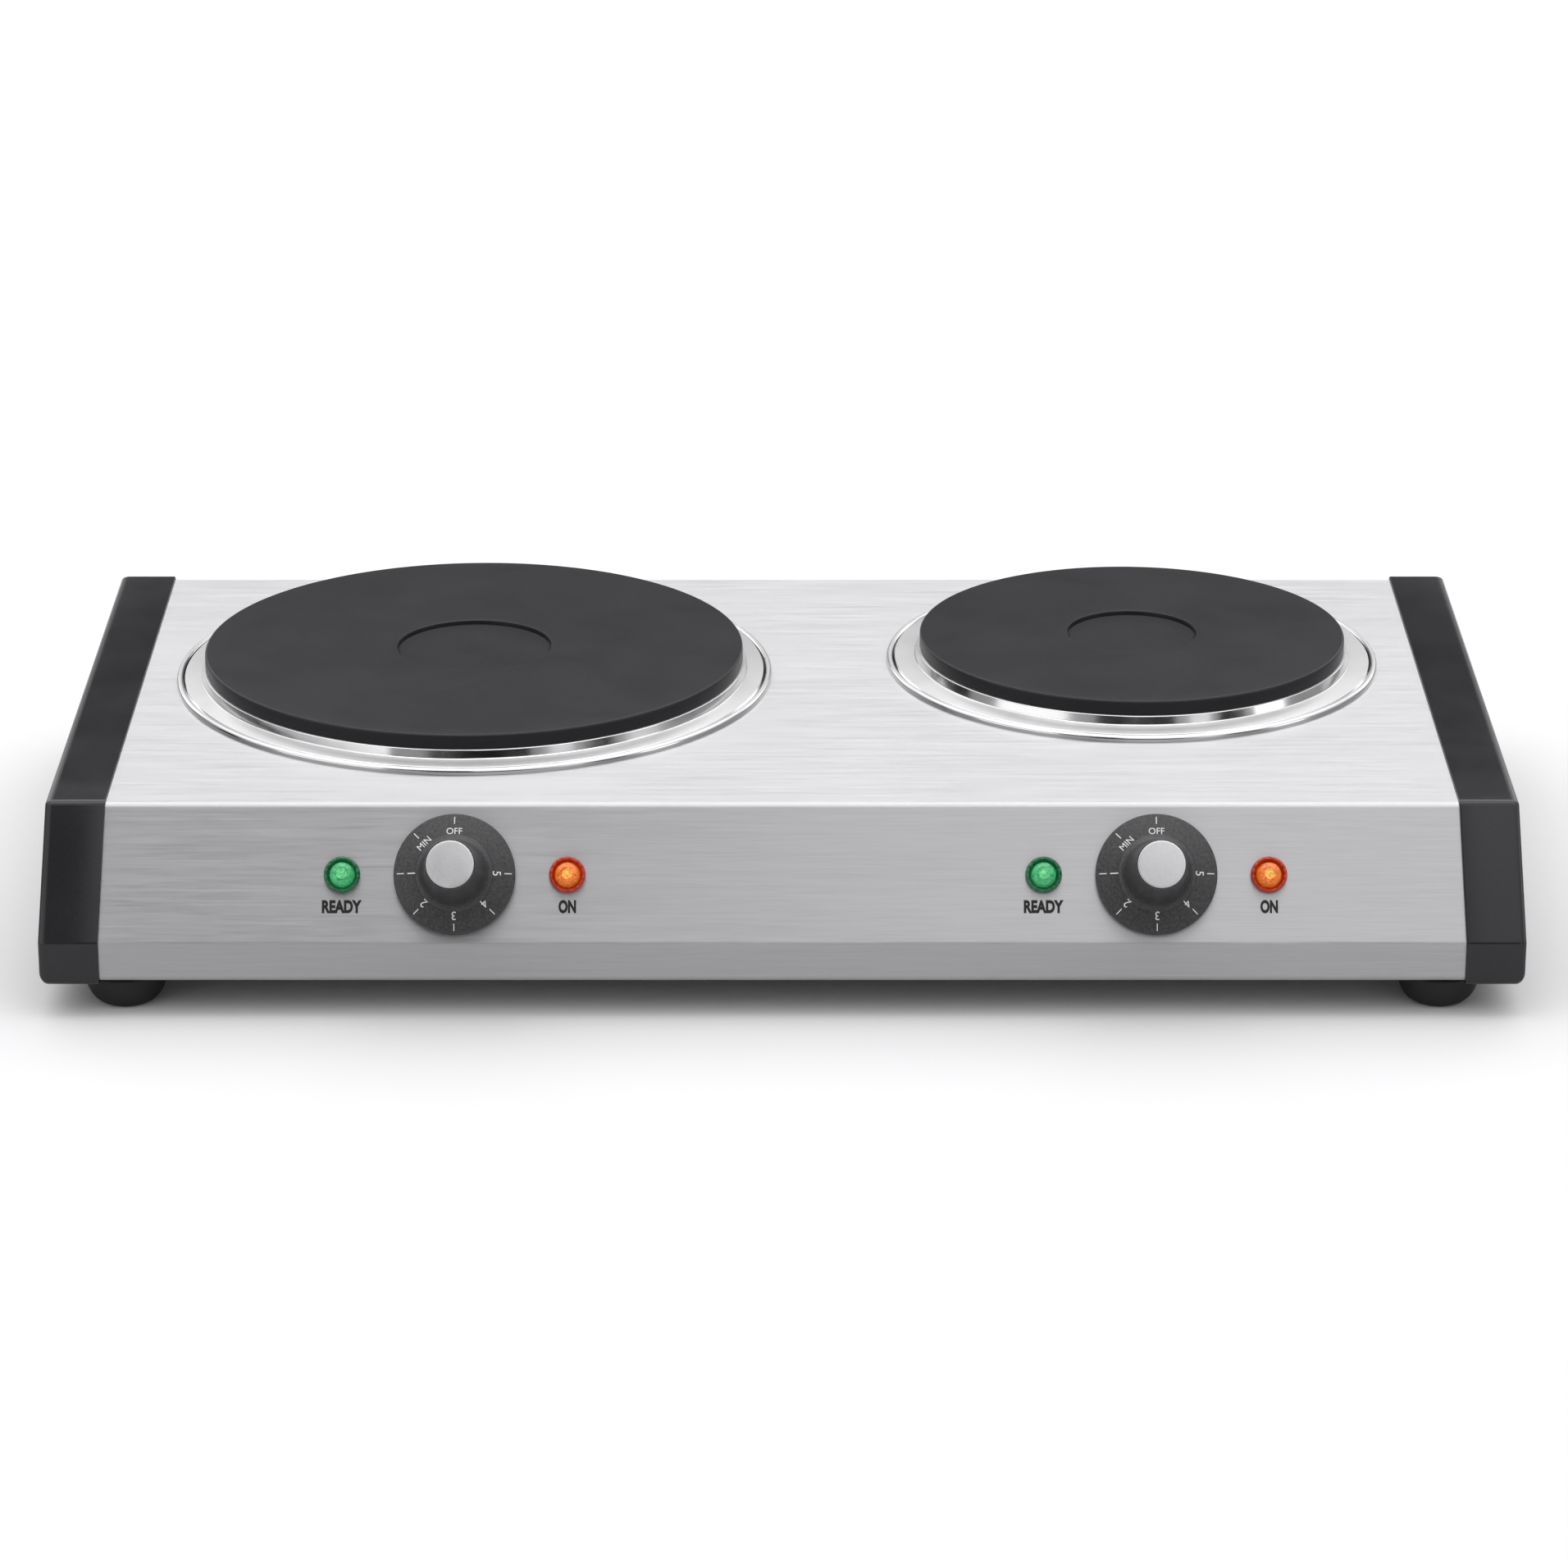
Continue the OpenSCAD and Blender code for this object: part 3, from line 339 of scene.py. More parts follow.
def clear_moulding(name, colour, glow, strength):
    """Clear coloured plastic with a lamp behind it, with lighter and deeper flow marks."""
    n = Nodes(name)
    flow = n.noise(900, detail=3, distortion=0.8)
    n.to("Base Color", n.ramp(flow, [(0.35, [c * 0.45 for c in colour]), (0.65, colour)]))
    n.to("Emission Color", n.ramp(flow, [(0.35, [c * 0.5 for c in glow]), (0.65, glow)]))
    n.to("Roughness", n.ramp(flow, [(0.3, 0.08), (0.7, 0.2)]))
    n.bump(flow, 0.02 * MM, 0.4)
    n.set(Transmission_Weight=0.3, IOR=1.49, Emission_Strength=strength)
    return n.material


def printed_ink(name, tone):
    """Pad-printed ink: nearly even, with a slight mottle."""
    n = Nodes(name)
    mottle = n.noise(3000, detail=3)
    n.to("Base Color", n.ramp(mottle, [(0.3, shade(tone * 0.86)), (0.7, shade(tone))]))
    n.to("Roughness", n.ramp(mottle, [(0.3, 0.42), (0.7, 0.55)]))
    n.bump(mottle, 0.005 * MM, 0.5)
    n.set(Specular_IOR_Level=0.2)
    return n.material


def warm_metal(name, colour, rough):
    """Rolled brass or oxidised alloy with an uneven film."""
    n = Nodes(name)
    film = n.noise(240, detail=4)
    streaks = n.noise(1, detail=3, where=n.stretched((60, 2600, 2600)))
    low = [c * 0.78 for c in colour]
    n.to("Base Color", n.ramp(n.sum(film, streaks, 0.4), [(0.5, low), (0.9, colour)]))
    n.to("Roughness", n.ramp(film, [(0.3, rough - 0.06), (0.7, rough + 0.1)]))
    n.bump(streaks, 0.008 * MM, 0.5)
    n.set(Metallic=1.0)
    return n.material


FINISH = {
    "steel_sheet": brushed_steel("steel_sheet", 0.435, 0.42, 0.028),
    "zinc_sheet": zinc_sheet("zinc_sheet", 0.56),
    "cap_moulding": moulded("cap_moulding", (0.0135, 0.0127, 0.0142), 0.2, gloss=0.32),
    "foot_rubber": moulded("foot_rubber", (0.012, 0.012, 0.013), 0.62, grain_scale=1800, gloss=0.25),
    "zinc_screw": zinc_sheet("zinc_screw", 0.6, 0.3),
    "cast_plate": coated_iron("cast_plate"),
    "polished_ring": polished_metal("polished_ring", 0.53, 0.13, 0.46),
    "heater_alloy": warm_metal("heater_alloy", (0.14, 0.12, 0.11), 0.5),
    "filler_cement": fired_ceramic("filler_cement", (0.6, 0.55, 0.46)),
    "white_ceramic": fired_ceramic("white_ceramic", (0.76, 0.74, 0.68)),
    "cutoff_body": warm_metal("cutoff_body", (0.7, 0.66, 0.56), 0.32),
    "contact_brass": warm_metal("contact_brass", (0.72, 0.5, 0.2), 0.3),
    "green_lens": clear_moulding("green_lens", (0.01, 0.13, 0.05), (0.02, 0.24, 0.08), 0.08),
    "amber_lens": clear_moulding("amber_lens", (0.42, 0.02, 0.006), (0.9, 0.05, 0.01), 0.1),
    "neon_glass": clear_moulding("neon_glass", (0.95, 0.8, 0.6), (1.0, 0.6, 0.25), 0.3),
    "gland_moulding": moulded("gland_moulding", (0.016, 0.016, 0.017), 0.5),
    "black_wire": moulded("black_wire", (0.015, 0.015, 0.016), 0.5, grain_scale=900),
    "white_wire": moulded("white_wire", (0.72, 0.71, 0.67), 0.5, grain_scale=900),
    "red_wire": moulded("red_wire", (0.42, 0.03, 0.025), 0.5, grain_scale=900),
    "green_wire": moulded("green_wire", (0.06, 0.28, 0.07), 0.5, grain_scale=900),
    "grey_wire": moulded("grey_wire", (0.25, 0.25, 0.26), 0.5, grain_scale=900),
    "knob_moulding": moulded(
        "knob_moulding", (0.024, 0.0232, 0.0245), 0.46, grain_scale=1250, grain=0.07, gloss=0.42, speckle=0.6
    ),
    "knob_insert": satin_metal("knob_insert", 0.53, 0.45),
    "spindle_steel": zinc_sheet("spindle_steel", 0.58, 0.3),
}
GLOW = {
    "ready_bowl": clear_moulding("green_bowl", (0.03, 0.3, 0.11), (0.08, 0.5, 0.2), 0.42),
    "ready_eye": clear_moulding("green_eye", (0.08, 0.42, 0.17), (0.22, 0.8, 0.36), 0.5),
    "on_bowl": clear_moulding("amber_bowl", (0.62, 0.12, 0.014), (0.95, 0.3, 0.03), 0.34),
    "on_eye": clear_moulding("amber_eye", (0.7, 0.33, 0.05), (0.95, 0.6, 0.12), 0.5),
}
white_ink = printed_ink("white_ink", 0.58)
black_ink = printed_ink("black_ink", 0.012)

# ---- outlines, as lists of 2-D points ----

def right_of(a, b):
    """The unit vector to the right of the way from a to b."""
    way = (b - a).normalized()
    return Vector((way.y, -way.x))


def shifted(path, distance):
    """The open path moved to its right by a distance."""
    points = [Vector(p) for p in path]
    last = len(points) - 1
    moved = []
    for i, point in enumerate(points):
        before = points[max(i - 1, 0)]
        after = points[min(i + 1, last)]
        one = right_of(before, point) if before != point else right_of(point, after)
        two = right_of(point, after) if after != point else one
        way = (one + two).normalized()
        moved.append(point + way * distance / way.dot(one))
    return moved


def grown(corners, distances):
    """A closed outline whose every side is moved to its right by its own distance."""
    count = len(corners)
    lines = []
    for i in range(count):
        a, b = Vector(corners[i]), Vector(corners[(i + 1) % count])
        lines.append((a + right_of(a, b) * distances[i], (b - a).normalized()))
    moved = []
    for i in range(count):
        (p, u), (q, v) = lines[i - 1], lines[i]
        cross = u.x * v.y - u.y * v.x
        if abs(cross) < 1e-9:
            moved.append(q)
        else:
            gap = q - p
            moved.append(p + u * (gap.x * v.y - gap.y * v.x) / cross)
    return moved


def arc(a, b, c, radius, steps):
    """The arc that rounds the corner at b."""
    a, b, c = Vector(a), Vector(b), Vector(c)
    u, v = (a - b).normalized(), (c - b).normalized()
    half = u.angle(v) / 2
    centre = b + (u + v).normalized() * radius / math.sin(half)
    start, end = b + u * radius / math.tan(half) - centre, b + v * radius / math.tan(half) - centre
    first = math.atan2(start.y, start.x)
    turn = (math.atan2(end.y, end.x) - first + 3 * math.pi) % (2 * math.pi) - math.pi
    angles = [first + turn * k / steps for k in range(steps + 1)]
    return [centre + Vector((math.cos(t), math.sin(t))) * radius for t in angles]


def rounded(path, radius, steps, closed=False):
    """The path with its corners rounded. radius is one number, or one for each point."""
    count = len(path)
    radii = radius if hasattr(radius, "__len__") else [radius] * count
    points = []
    for i in range(count):
        if (i in (0, count - 1) and not closed) or radii[i] == 0:
            points.append(Vector(path[i]))
        else:
            points += arc(path[i - 1], path[i], path[(i + 1) % count], radii[i], steps)
    return points


def curve_through(points, steps):
    """A smooth curve through 2-D points, with a number of steps from each to the next."""
    points = [Vector(p) for p in points]
    last = len(points) - 1
    out = []
    for i in range(last):
        p0, p1, p2, p3 = points[max(i - 1, 0)], points[i], points[i + 1], points[min(i + 2, last)]
        for k in range(steps):
            t = k / steps
            out.append(0.5 * (
                2 * p1 + (p2 - p0) * t + (2 * p0 - 5 * p1 + 4 * p2 - p3) * t * t
                + (3 * p1 - p0 - 3 * p2 + p3) * t * t * t
            ))
    return out + [points[last]]


def quarter(steps):
    """The angles of a quarter turn, from 0, in a number of steps."""
    return [math.pi / 2 * k / steps for k in range(steps + 1)]


def in_mm(points):
    """Points given in millimetres, as metres."""
    return [(x * MM, y * MM) for x, y in points]


# ---- mesh helpers ----

SMOOTH_BELOW = math.radians(28)
SAME_POINT = 1e-7


def as_object(name, bm, place=None):
    """A finished bmesh as an object in the scene. place moves its points."""
    mesh = bpy.data.meshes.new(name)
    bm.to_mesh(mesh)
    bm.free()
    if place:
        mesh.transform(place)
    thing = bpy.data.objects.new(name, mesh)
    scene.collection.objects.link(thing)
    return thing


def add_piece(name, bm, body, slot=None, replaces=(), place=None, material=None):
    """A finished mesh piece that rides on a CAD body."""
    bmesh.ops.remove_doubles(bm, verts=bm.verts, dist=SAME_POINT)
    bmesh.ops.recalc_face_normals(bm, faces=bm.faces)
    piece = as_object(name, bm, place)
    finish_piece(piece, body, slot, replaces, material)
    return piece


def finish_piece(piece, body, slot, replaces, material=None):
    """Sets a piece's shading, finish and body. Faces with more than four corners are shaded flat."""
    piece.data.shade_smooth()
    piece.data.set_sharp_from_angle(angle=SMOOTH_BELOW)
    for face in piece.data.polygons:
        if len(face.vertices) > 4:
            face.use_smooth = False
    piece.data.materials.clear()
    piece.data.materials.append(material or FINISH[slot])
    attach(piece, body)
    if replaces:
        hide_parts(*replaces)


def turned(profile, sides, closed=True):
    """A surface turned about Z from (radius, height) points. closed joins the last point to the first."""
    bm = bmesh.new()
    rings = []
    for radius, height in profile:
        if radius < 1e-9:
            rings.append([bm.verts.new((0, 0, height))])
        else:
            angles = [2 * math.pi * k / sides for k in range(sides)]
            rings.append([bm.verts.new((radius * math.cos(t), radius * math.sin(t), height)) for t in angles])
    pairs = list(zip(rings, rings[1:] + rings[:1])) if closed else list(zip(rings, rings[1:]))
    for low, high in pairs:
        for k in range(sides):
            j = k + 1
            corners = [low[k % len(low)], low[j % len(low)], high[j % len(high)], high[k % len(high)]]
            unique = list(dict.fromkeys(corners))
            if len(unique) > 2:
                bm.faces.new(unique)
    return bm


def loft(rings, closed_ends=False):
    """Quads between rings of equal length; each ring is closed. Also gives the rings' vertices."""
    bm = bmesh.new()
    rows = [[bm.verts.new(p) for p in ring] for ring in rings]
    for low, high in zip(rows, rows[1:]):
        for k in range(len(low)):
            j = (k + 1) % len(low)
            bm.faces.new((low[k], low[j], high[j], high[k]))
    if closed_ends:
        bm.faces.new(list(reversed(rows[0])))
        bm.faces.new(rows[-1])
    return bm, rows


def cut(piece, cutters):
    """Takes the cutters out of a piece and keeps the result as its mesh."""
    for cutter in cutters:
        step = piece.modifiers.new("cut", "BOOLEAN")
        step.operation = "DIFFERENCE"
        step.solver = "EXACT"
        step.object = cutter
    bpy.context.view_layer.update()
    result = bpy.data.meshes.new_from_object(piece.evaluated_get(bpy.context.evaluated_depsgraph_get()))
    piece.modifiers.clear()
    old = piece.data
    piece.data = result
    result.name = old.name
    bpy.data.meshes.remove(old)
    for cutter in cutters:
        bpy.data.objects.remove(cutter)


def drill(radius, depth, place, sides):
    """A round cutter, centred on its place, along its Z."""
    bm = bmesh.new()
    bmesh.ops.create_cone(
        bm, cap_ends=True, segments=sides, radius1=radius, radius2=radius, depth=depth, matrix=place
    )
    return as_object("cutter", bm)


def on_panel(x):
    """+Z out of the control panel, +Y up along it."""
    at = knob_at["left"]
    return Matrix.Translation((x, at.y, at.z)) @ Matrix.Rotation(math.pi / 2 - panel_tilt, 4, "X")


def on_rear(x, down):
    """+Z out of the rear wall, +Y down along it; down is measured from the top."""
    y = top_back_y + down * math.sin(rear_tilt)
    z = top_z - down * math.cos(rear_tilt)
    return Matrix.Translation((x, y, z)) @ Matrix.Rotation(rear_tilt - math.pi / 2, 4, "X")


def at_plate(node):
    """The middle of a plate or ring, level with the top of the housing."""
    centre = middle(node)
    return Matrix.Translation((centre.x, centre.y, top_z))


# ---- housing ----

PLATE_CLEARANCE = 2 * MM  # between a plate and the edge of its hole in the top
SHAFT_HOLE_R = 5.4 * MM
LAMP_HOLE_R = 5.1 * MM


def add_housing():
    """One folded sheet: lower flange, lip, control panel, top and the turned-down rear edge."""
    end_y = top_back_y + REAR_FLANGE * math.sin(rear_tilt)
    end_z = top_z - REAR_FLANGE * math.cos(rear_tilt)
    path = [
        (front_y + BOTTOM_FLANGE, base_z), (front_y, base_z), (front_y, kink_z), (top_front_y, top_z),
        (top_back_y, top_z), (end_y, end_z),
    ]
    outer = rounded(path, FOLD, 16)
    outline = outer + list(reversed(shifted(outer, SHEET)))
    half = housing_high.x
    rings = [[(x, p.x, p.y) for p in outline] for x in (-half, half)]
    bm, _ = loft(rings, closed_ends=True)
    bmesh.ops.recalc_face_normals(bm, faces=bm.faces)
    piece = as_object("steel_housing", bm)
    through = 10 * SHEET
    cutters = []
    for size in ("large", "small"):
        plate = "hot_plate_" + size
        cutters.append(drill(half_width(plate) + PLATE_CLEARANCE, through, at_plate(plate), 96))
    for side in ("left", "right"):
        cutters.append(drill(SHAFT_HOLE_R, through, on_panel(knob_at[side].x), 48))
        for lamp in ("ready_lens_", "on_lens_"):
            cutters.append(drill(LAMP_HOLE_R, through, on_panel(middle(lamp + side).x), 48))
    cut(piece, cutters)
    finish_piece(piece, "body", "steel_sheet", ["housing_shell"])


# ---- end caps ----

def add_end_cap(side):
    """A moulded cap: rounded edges, an outer face that leans in, and a fuller lower outer edge."""
    sign = -1 if side == "left" else 1
    back_y = top_back_y + (top_z - base_z) * math.tan(rear_tilt)
    kink_back_y = top_back_y + (top_z - kink_z) * math.tan(rear_tilt)
    corners = [
        (front_y, base_z), (back_y, base_z), (kink_back_y, kink_z), (top_back_y, top_z), (top_front_y, top_z),
        (front_y, kink_z),
    ]
    corner_mm = [2.4, 2.4, 0, 2.4, 2.6, 3.0]  # radius of each corner
    slimmest_mm = 1.5
    edge_mm = [4.0] + [slimmest_mm] * 5  # how far each side's outer edge rounds in
    smallest_mm = 0.25  # least radius that an inset leaves a corner
    inner_mm = 0.4  # rounding of the edges against the sheet
    outer_mm = 3  # how far along X the outer edges' rounding reaches
    inner_steps = 3
    outer_steps = 8
    steps = 8
    fullest = grown(corners, [cap_proud] * len(corners))
    rise = top_z - kink_z

    def ring(x_of_edge, inset_of_edge):
        """One loop of points; each side has its own inset, and the outer face leans in above the kink."""
        insets = [-inset_of_edge(e) * MM for e in edge_mm]
        loop = grown(fullest, insets)
        radii = [max(smallest_mm, r - inset_of_edge(slimmest_mm)) * MM if r else 0 for r in corner_mm]
        points = rounded(loop, radii, steps, closed=True)
        leans = [CAP_LEAN * max(0.0, p.y - kink_z) / rise for p in points]
        return [(sign * (x_of_edge - lean), p.x, p.y) for p, lean in zip(points, leans)]

    inner_x = cap_high.x - CAP_WIDTH
    rings = []
    for t in quarter(inner_steps):
        x = inner_x + inner_mm * (1 - math.cos(t)) * MM
        rings.append(ring(x, lambda e: inner_mm * (1 - math.sin(t))))
    for t in quarter(outer_steps):
        x = cap_high.x - outer_mm * (1 - math.sin(t)) * MM
        rings.append(ring(x, lambda e: e * (1 - math.cos(t))))
    bm, rows = loft(rings)
    # The outer face folds where it starts to lean, between its back kink and the middle of its front one
    face = rows[-1]
    back = 2 * (steps + 1)
    front = back + 1 + 2 * (steps + 1) + steps // 2
    bm.faces.new(face[back:front + 1])
    bm.faces.new(face[front:] + face[:back + 1])
    piece = add_piece("cap_" + side, bm, "body", "cap_moulding", ["end_cap_" + side])
    wall = piece.modifiers.new("wall", "SOLIDIFY")
    wall.thickness = CAP_WALL
    wall.offset = -1


# ---- plates and rings ----

RECESS_MM = {"large": 27.2, "small": 22.9}
RECESS_DEPTH_MM = 1.2
GROOVE_MM = (0.7, 0.4)  # width and extra depth of the fine groove round the recess's floor
PLATE_RIM_MM = 5  # height of a plate's upright edge
RING_FOOT_MM = {"large": 1.3, "small": 1.7}  # from a plate's edge out to the foot of its ring's wall
RING_SHEET_MM = 0.5
RING_BEAD_MM = 1.25


def add_plate(size):
    """A cast plate: a flat top with a shallow recess, an upright rounded edge and a narrower underside."""
    node = "hot_plate_" + size
    low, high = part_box(node)
    radius = half_width(node) / MM
    top = (high.z - top_z) / MM
    under = (low.z - top_z) / MM
    rim = top - PLATE_RIM_MM
    recess = RECESS_MM[size]
    floor = top - RECESS_DEPTH_MM
    groove = recess - GROOVE_MM[0]
    bottom = floor - GROOVE_MM[1]
    lip = rounded([(recess, bottom), (recess + 0.1, top), (recess + 3, top)], 0.18, 4)
    edge = [
        (radius - 8, top), (radius, top), (radius, rim),
        (radius - 3.5, rim), (radius - 3.8, under), (0, under),
    ]
    profile = [(0, floor), (recess - 4, floor), (groove, floor), (groove + 0.1, bottom)]
    profile += lip + rounded(edge, [0, 0.9, 0.5, 0.3, 0.8, 0], 8)
    bm = turned(in_mm(profile), 224, closed=False)
    add_piece("plate_" + size, bm, "body", "cast_plate", [node], at_plate(node))


def add_ring(size):
    """A pressed ring: a lip under the plate, an upright wall, a flat band and an outer bead."""
    node = "trim_ring_" + size
    plate = half_width("hot_plate_" + size) / MM
    outer = half_width(node) / MM
    top = (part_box(node)[1].z - top_z) / MM
    bead = RING_BEAD_MM
    bead_z = 0.95
    groove = outer - 2 * bead - 0.2
    foot = plate + RING_FOOT_MM[size]
    slope = rounded(
        [(plate - 3.2, top), (plate + 0.8, top), (foot, 2.7), (groove - 0.3, 2), (groove, 1.6)],
        [0, 0.4, 0.55, 0.25, 0], 8,
    )
    angles = [math.radians(160 - 8 * k) for k in range(21)]
    round_edge = [Vector((outer - bead + bead * math.cos(t), bead_z + bead * math.sin(t))) for t in angles]
    path = slope + round_edge + [Vector((outer, 0.05))]
    outline = path + list(reversed(shifted(path, RING_SHEET_MM)))
    add_piece("ring_" + size, turned(in_mm(outline), 256), "body", "polished_ring", [node], at_plate(node))


# ---- feet ----

FOOT_FLAT_MM = 7.0
FOOT_COLLAR_MM = 1.1  # height of the collar that sits in the end cap
FOOT_WELL_MM = (4.2, 5.9)  # radius and height of the well for the screw's head
FOOT_BORE_MM = 2.1


def add_foot(where):
    """A rubber foot: a round side on a small flat, with a screw's well, a bore and a collar."""
    node = "foot_" + where
    low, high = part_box(node)
    height = (high.z - low.z) / MM
    dome = height - FOOT_COLLAR_MM
    wide = half_width(node) / MM
    flat = FOOT_FLAT_MM
    well, well_top = FOOT_WELL_MM
    side = [(flat + (wide - flat) * math.sin(t), dome * (1 - math.cos(t))) for t in quarter(16)]
    profile = [(well, 0.35), (well + 0.35, 0)] + side[:-1] + [(wide, dome - 0.5), (wide - 0.5, dome)]
    profile += [(5, dome), (5, height), (FOOT_BORE_MM, height), (FOOT_BORE_MM, well_top), (well, well_top)]
    centre = middle(node)
    place = Matrix.Translation((centre.x, centre.y, 0))
    add_piece("grip_" + where, turned(in_mm(profile), 96), "body", "foot_rubber", [node], place)


# ---- knobs ----

SKIRT_MM = 20.25
SKIRT_EDGE_MM = (1.2, 2.7)  # bottom and top of the skirt's edge
NECK_MM = (13.2, 4.6)  # where the skirt turns up into the grip
GRIP_END_MM = (8.55, 28.1)
KNOB_TOP_MM = 29.5
DISC_MM = 7.9
DISC_SEAT_MM = 28.2  # height of the seat under the disc
SHAFT_MM = (3.1, 21.4)  # radius and top of the hole for the spindle


def knob_profile():
    """(radius, height) along the outside of a knob, from its skirt's edge to its end, in millimetres."""
    low, high = SKIRT_EDGE_MM
    skirt = rounded([(SKIRT_MM - 1.6, low), (SKIRT_MM, low), (SKIRT_MM, high), NECK_MM], [0, 0.25, 0.6, 0], 6)
    grip = curve_through(
        [NECK_MM, (12.8, 5.15), (11.7, 5.9), (10.8, 7.6), (10.05, 11), (9.4, 16), (8.85, 23), GRIP_END_MM], 6
    )
    pocket = DISC_MM + 0.05
    end = rounded([GRIP_END_MM, (8.33, 29.18), (pocket, 29.18), (pocket, DISC_SEAT_MM)], [0, 0.3, 0.1, 0], 6)
    return skirt[:-1] + grip[:-1] + end


def skirt_height(radius):
    """Height of the skirt's upper face at a radius, in millimetres."""
    points = [p for p in knob_profile() if p[1] > sum(SKIRT_EDGE_MM) / 2]
    for (r1, h1), (r2, h2) in zip(points, points[1:]):
        if r2 <= radius < r1:
            return h1 + (h2 - h1) * (r1 - radius) / (r1 - r2)
    raise ValueError(f"no skirt at radius {radius}")


def add_knob(side):
    """A knob with a hole for its spindle, and the bright disc in its end."""
    place = on_panel(knob_at[side].x)
    shaft, shaft_top = SHAFT_MM
    hollow = [
        (0, DISC_SEAT_MM), (0, shaft_top), (shaft, shaft_top), (shaft, 2.2),
        (6.2, 2.2), (6.8, 3.4), (17.6, 2.3),
    ]
    bm = turned(in_mm(knob_profile() + hollow), 192)
    add_piece("dial_" + side, bm, side + "_control", "knob_moulding", ["knob_" + side], place)
    bottom = DISC_SEAT_MM + 0.05
    top = KNOB_TOP_MM
    disc = rounded(
        [(0, bottom), (DISC_MM, bottom), (DISC_MM, top - 0.1), (7.2, top - 0.05), (0, top)],
        [0, 0.1, 0.3, 0, 0], 5,
    )
    bm = turned(in_mm(disc), 128, closed=False)
    add_piece("disc_" + side, bm, side + "_control", "knob_insert", ["knob_cap_" + side], place)


# ---- print ----

def letters(text, size, thick, weight):
    """A flat word in the built-in typeface, centred on the origin. weight thickens its strokes."""
    curve = bpy.data.curves.new("word", "FONT")
    curve.body = text
    curve.size = size
    curve.align_x = "CENTER"
    curve.align_y = "CENTER"
    curve.extrude = thick / 2
    curve.resolution_u = 6
    curve.offset = size * weight
    word = bpy.data.objects.new("word", curve)
    scene.collection.objects.link(word)
    bpy.context.view_layer.update()
    mesh = bpy.data.meshes.new_from_object(word.evaluated_get(bpy.context.evaluated_depsgraph_get()))
    bpy.data.objects.remove(word)
    xs = [v.co.x for v in mesh.vertices]
    ys = [v.co.y for v in mesh.vertices]
    mesh.transform(Matrix.Translation((-(min(xs) + max(xs)) / 2, -(min(ys) + max(ys)) / 2, 0)))
    return mesh


def add_print(name, meshes, body, place, material):
    """Printed marks as one thin piece."""
    bm = bmesh.new()
    for mesh in meshes:
        bm.from_mesh(mesh)
        bpy.data.meshes.remove(mesh)
    add_piece(name, bm, body, place=place, material=material)


DIAL = ["OFF", "MIN", "1", "2", "3", "4", "5"]
DIAL_STEP = math.radians(45)
LABEL_SIZE_MM = {1: 3.9, 3: 3.1}  # by the label's number of letters
LABEL_AT_MM = 14.2
TICK_MM = (16.7, 19.1)
TICK_WIDTH_MM = 0.3
PRINT = 0.05 * MM
LEGEND_SIZE_MM = 5.6
LEGEND_DOWN_MM = 10.6
LEGEND_WEIGHT = 0.05
LEGENDS = [("READY", "ready_lens_", 0.74), ("ON", "on_lens_", 0.66)]  # word, lamp and narrowing


def tick_mesh():
    """A tick above the origin: a thin slab cut into short lengths, to follow the skirt."""
    low, high = TICK_MM
    shape = Matrix.Diagonal((TICK_WIDTH_MM * MM, (high - low) * MM, 1, 1))
    bm = bmesh.new()
    bmesh.ops.create_grid(bm, x_segments=1, y_segments=6, size=0.5)
    bmesh.ops.transform(bm, matrix=Matrix.Translation((0, (low + high) / 2 * MM, 0)) @ shape, verts=bm.verts)
    made = bmesh.ops.extrude_face_region(bm, geom=bm.faces[:])
    for vert in made["geom"]:
        if isinstance(vert, bmesh.types.BMVert):
            vert.co.z += PRINT
    tick = bpy.data.meshes.new("tick")
    bm.to_mesh(tick)
    bm.free()
    return tick


def add_dial_marks(side):
    """Ticks and labels that lie on the skirt, counter-clockwise from OFF."""
    meshes = []
    for k, text in enumerate(DIAL):
        label = letters(text, LABEL_SIZE_MM[len(text)] * MM, PRINT, 0)
        label.transform(Matrix.Translation((0, LABEL_AT_MM * MM, 0)))
        for mesh in (label, tick_mesh()):
            mesh.transform(Matrix.Rotation(DIAL_STEP * k, 4, "Z"))
            meshes.append(mesh)
    for mesh in meshes:
        for vert in mesh.vertices:
            radius = math.hypot(vert.co.x, vert.co.y) / MM
            vert.co.z += skirt_height(radius) * MM + PRINT / 4
    add_print("dial_marks_" + side, meshes, side + "_control", on_panel(knob_at[side].x), white_ink)


def add_legends(side):
    """READY and ON, printed on the panel under their lamps."""
    meshes = []
    for text, lamp, narrow in LEGENDS:
        across = middle(lamp + side).x - knob_at[side].x
        word = letters(text, LEGEND_SIZE_MM * MM, PRINT, LEGEND_WEIGHT)
        word.transform(Matrix.Diagonal((narrow, 1, 1, 1)))
        word.transform(Matrix.Translation((across, -LEGEND_DOWN_MM * MM, PRINT / 2)))
        meshes.append(word)
    add_print("legends_" + side, meshes, "body", on_panel(knob_at[side].x), black_ink)


# ---- lamps ----

# Outlines of a lens, as (radius, height) above the panel
RIM_EDGE_MM = (5.05, 0.05)
RIM_MM = [(6.1, 0.05), (6.1, 1.1), (5.9, 1.8), (5.45, 2.15), (4.95, 2.0), (4.5, 1.2), (4.2, 0.4)]
BARREL_MM = [(3.9, 0.6), (3.9, -14), (5.0, -14), (5.0, 0.0)]
BOWL_MM = [(4.2, 0.4), (4.0, 2.0), (3.75, 3.1), (3.2, 3.85), (2.4, 4.28), (1.7, 4.37)]
EYE_MM = [(1.7, 4.37), (1.5, 4.25), (1.35, 3.9), (1.1, 3.85), (0.95, 4.1), (0.5, 4.3), (0.001, 4.35)]


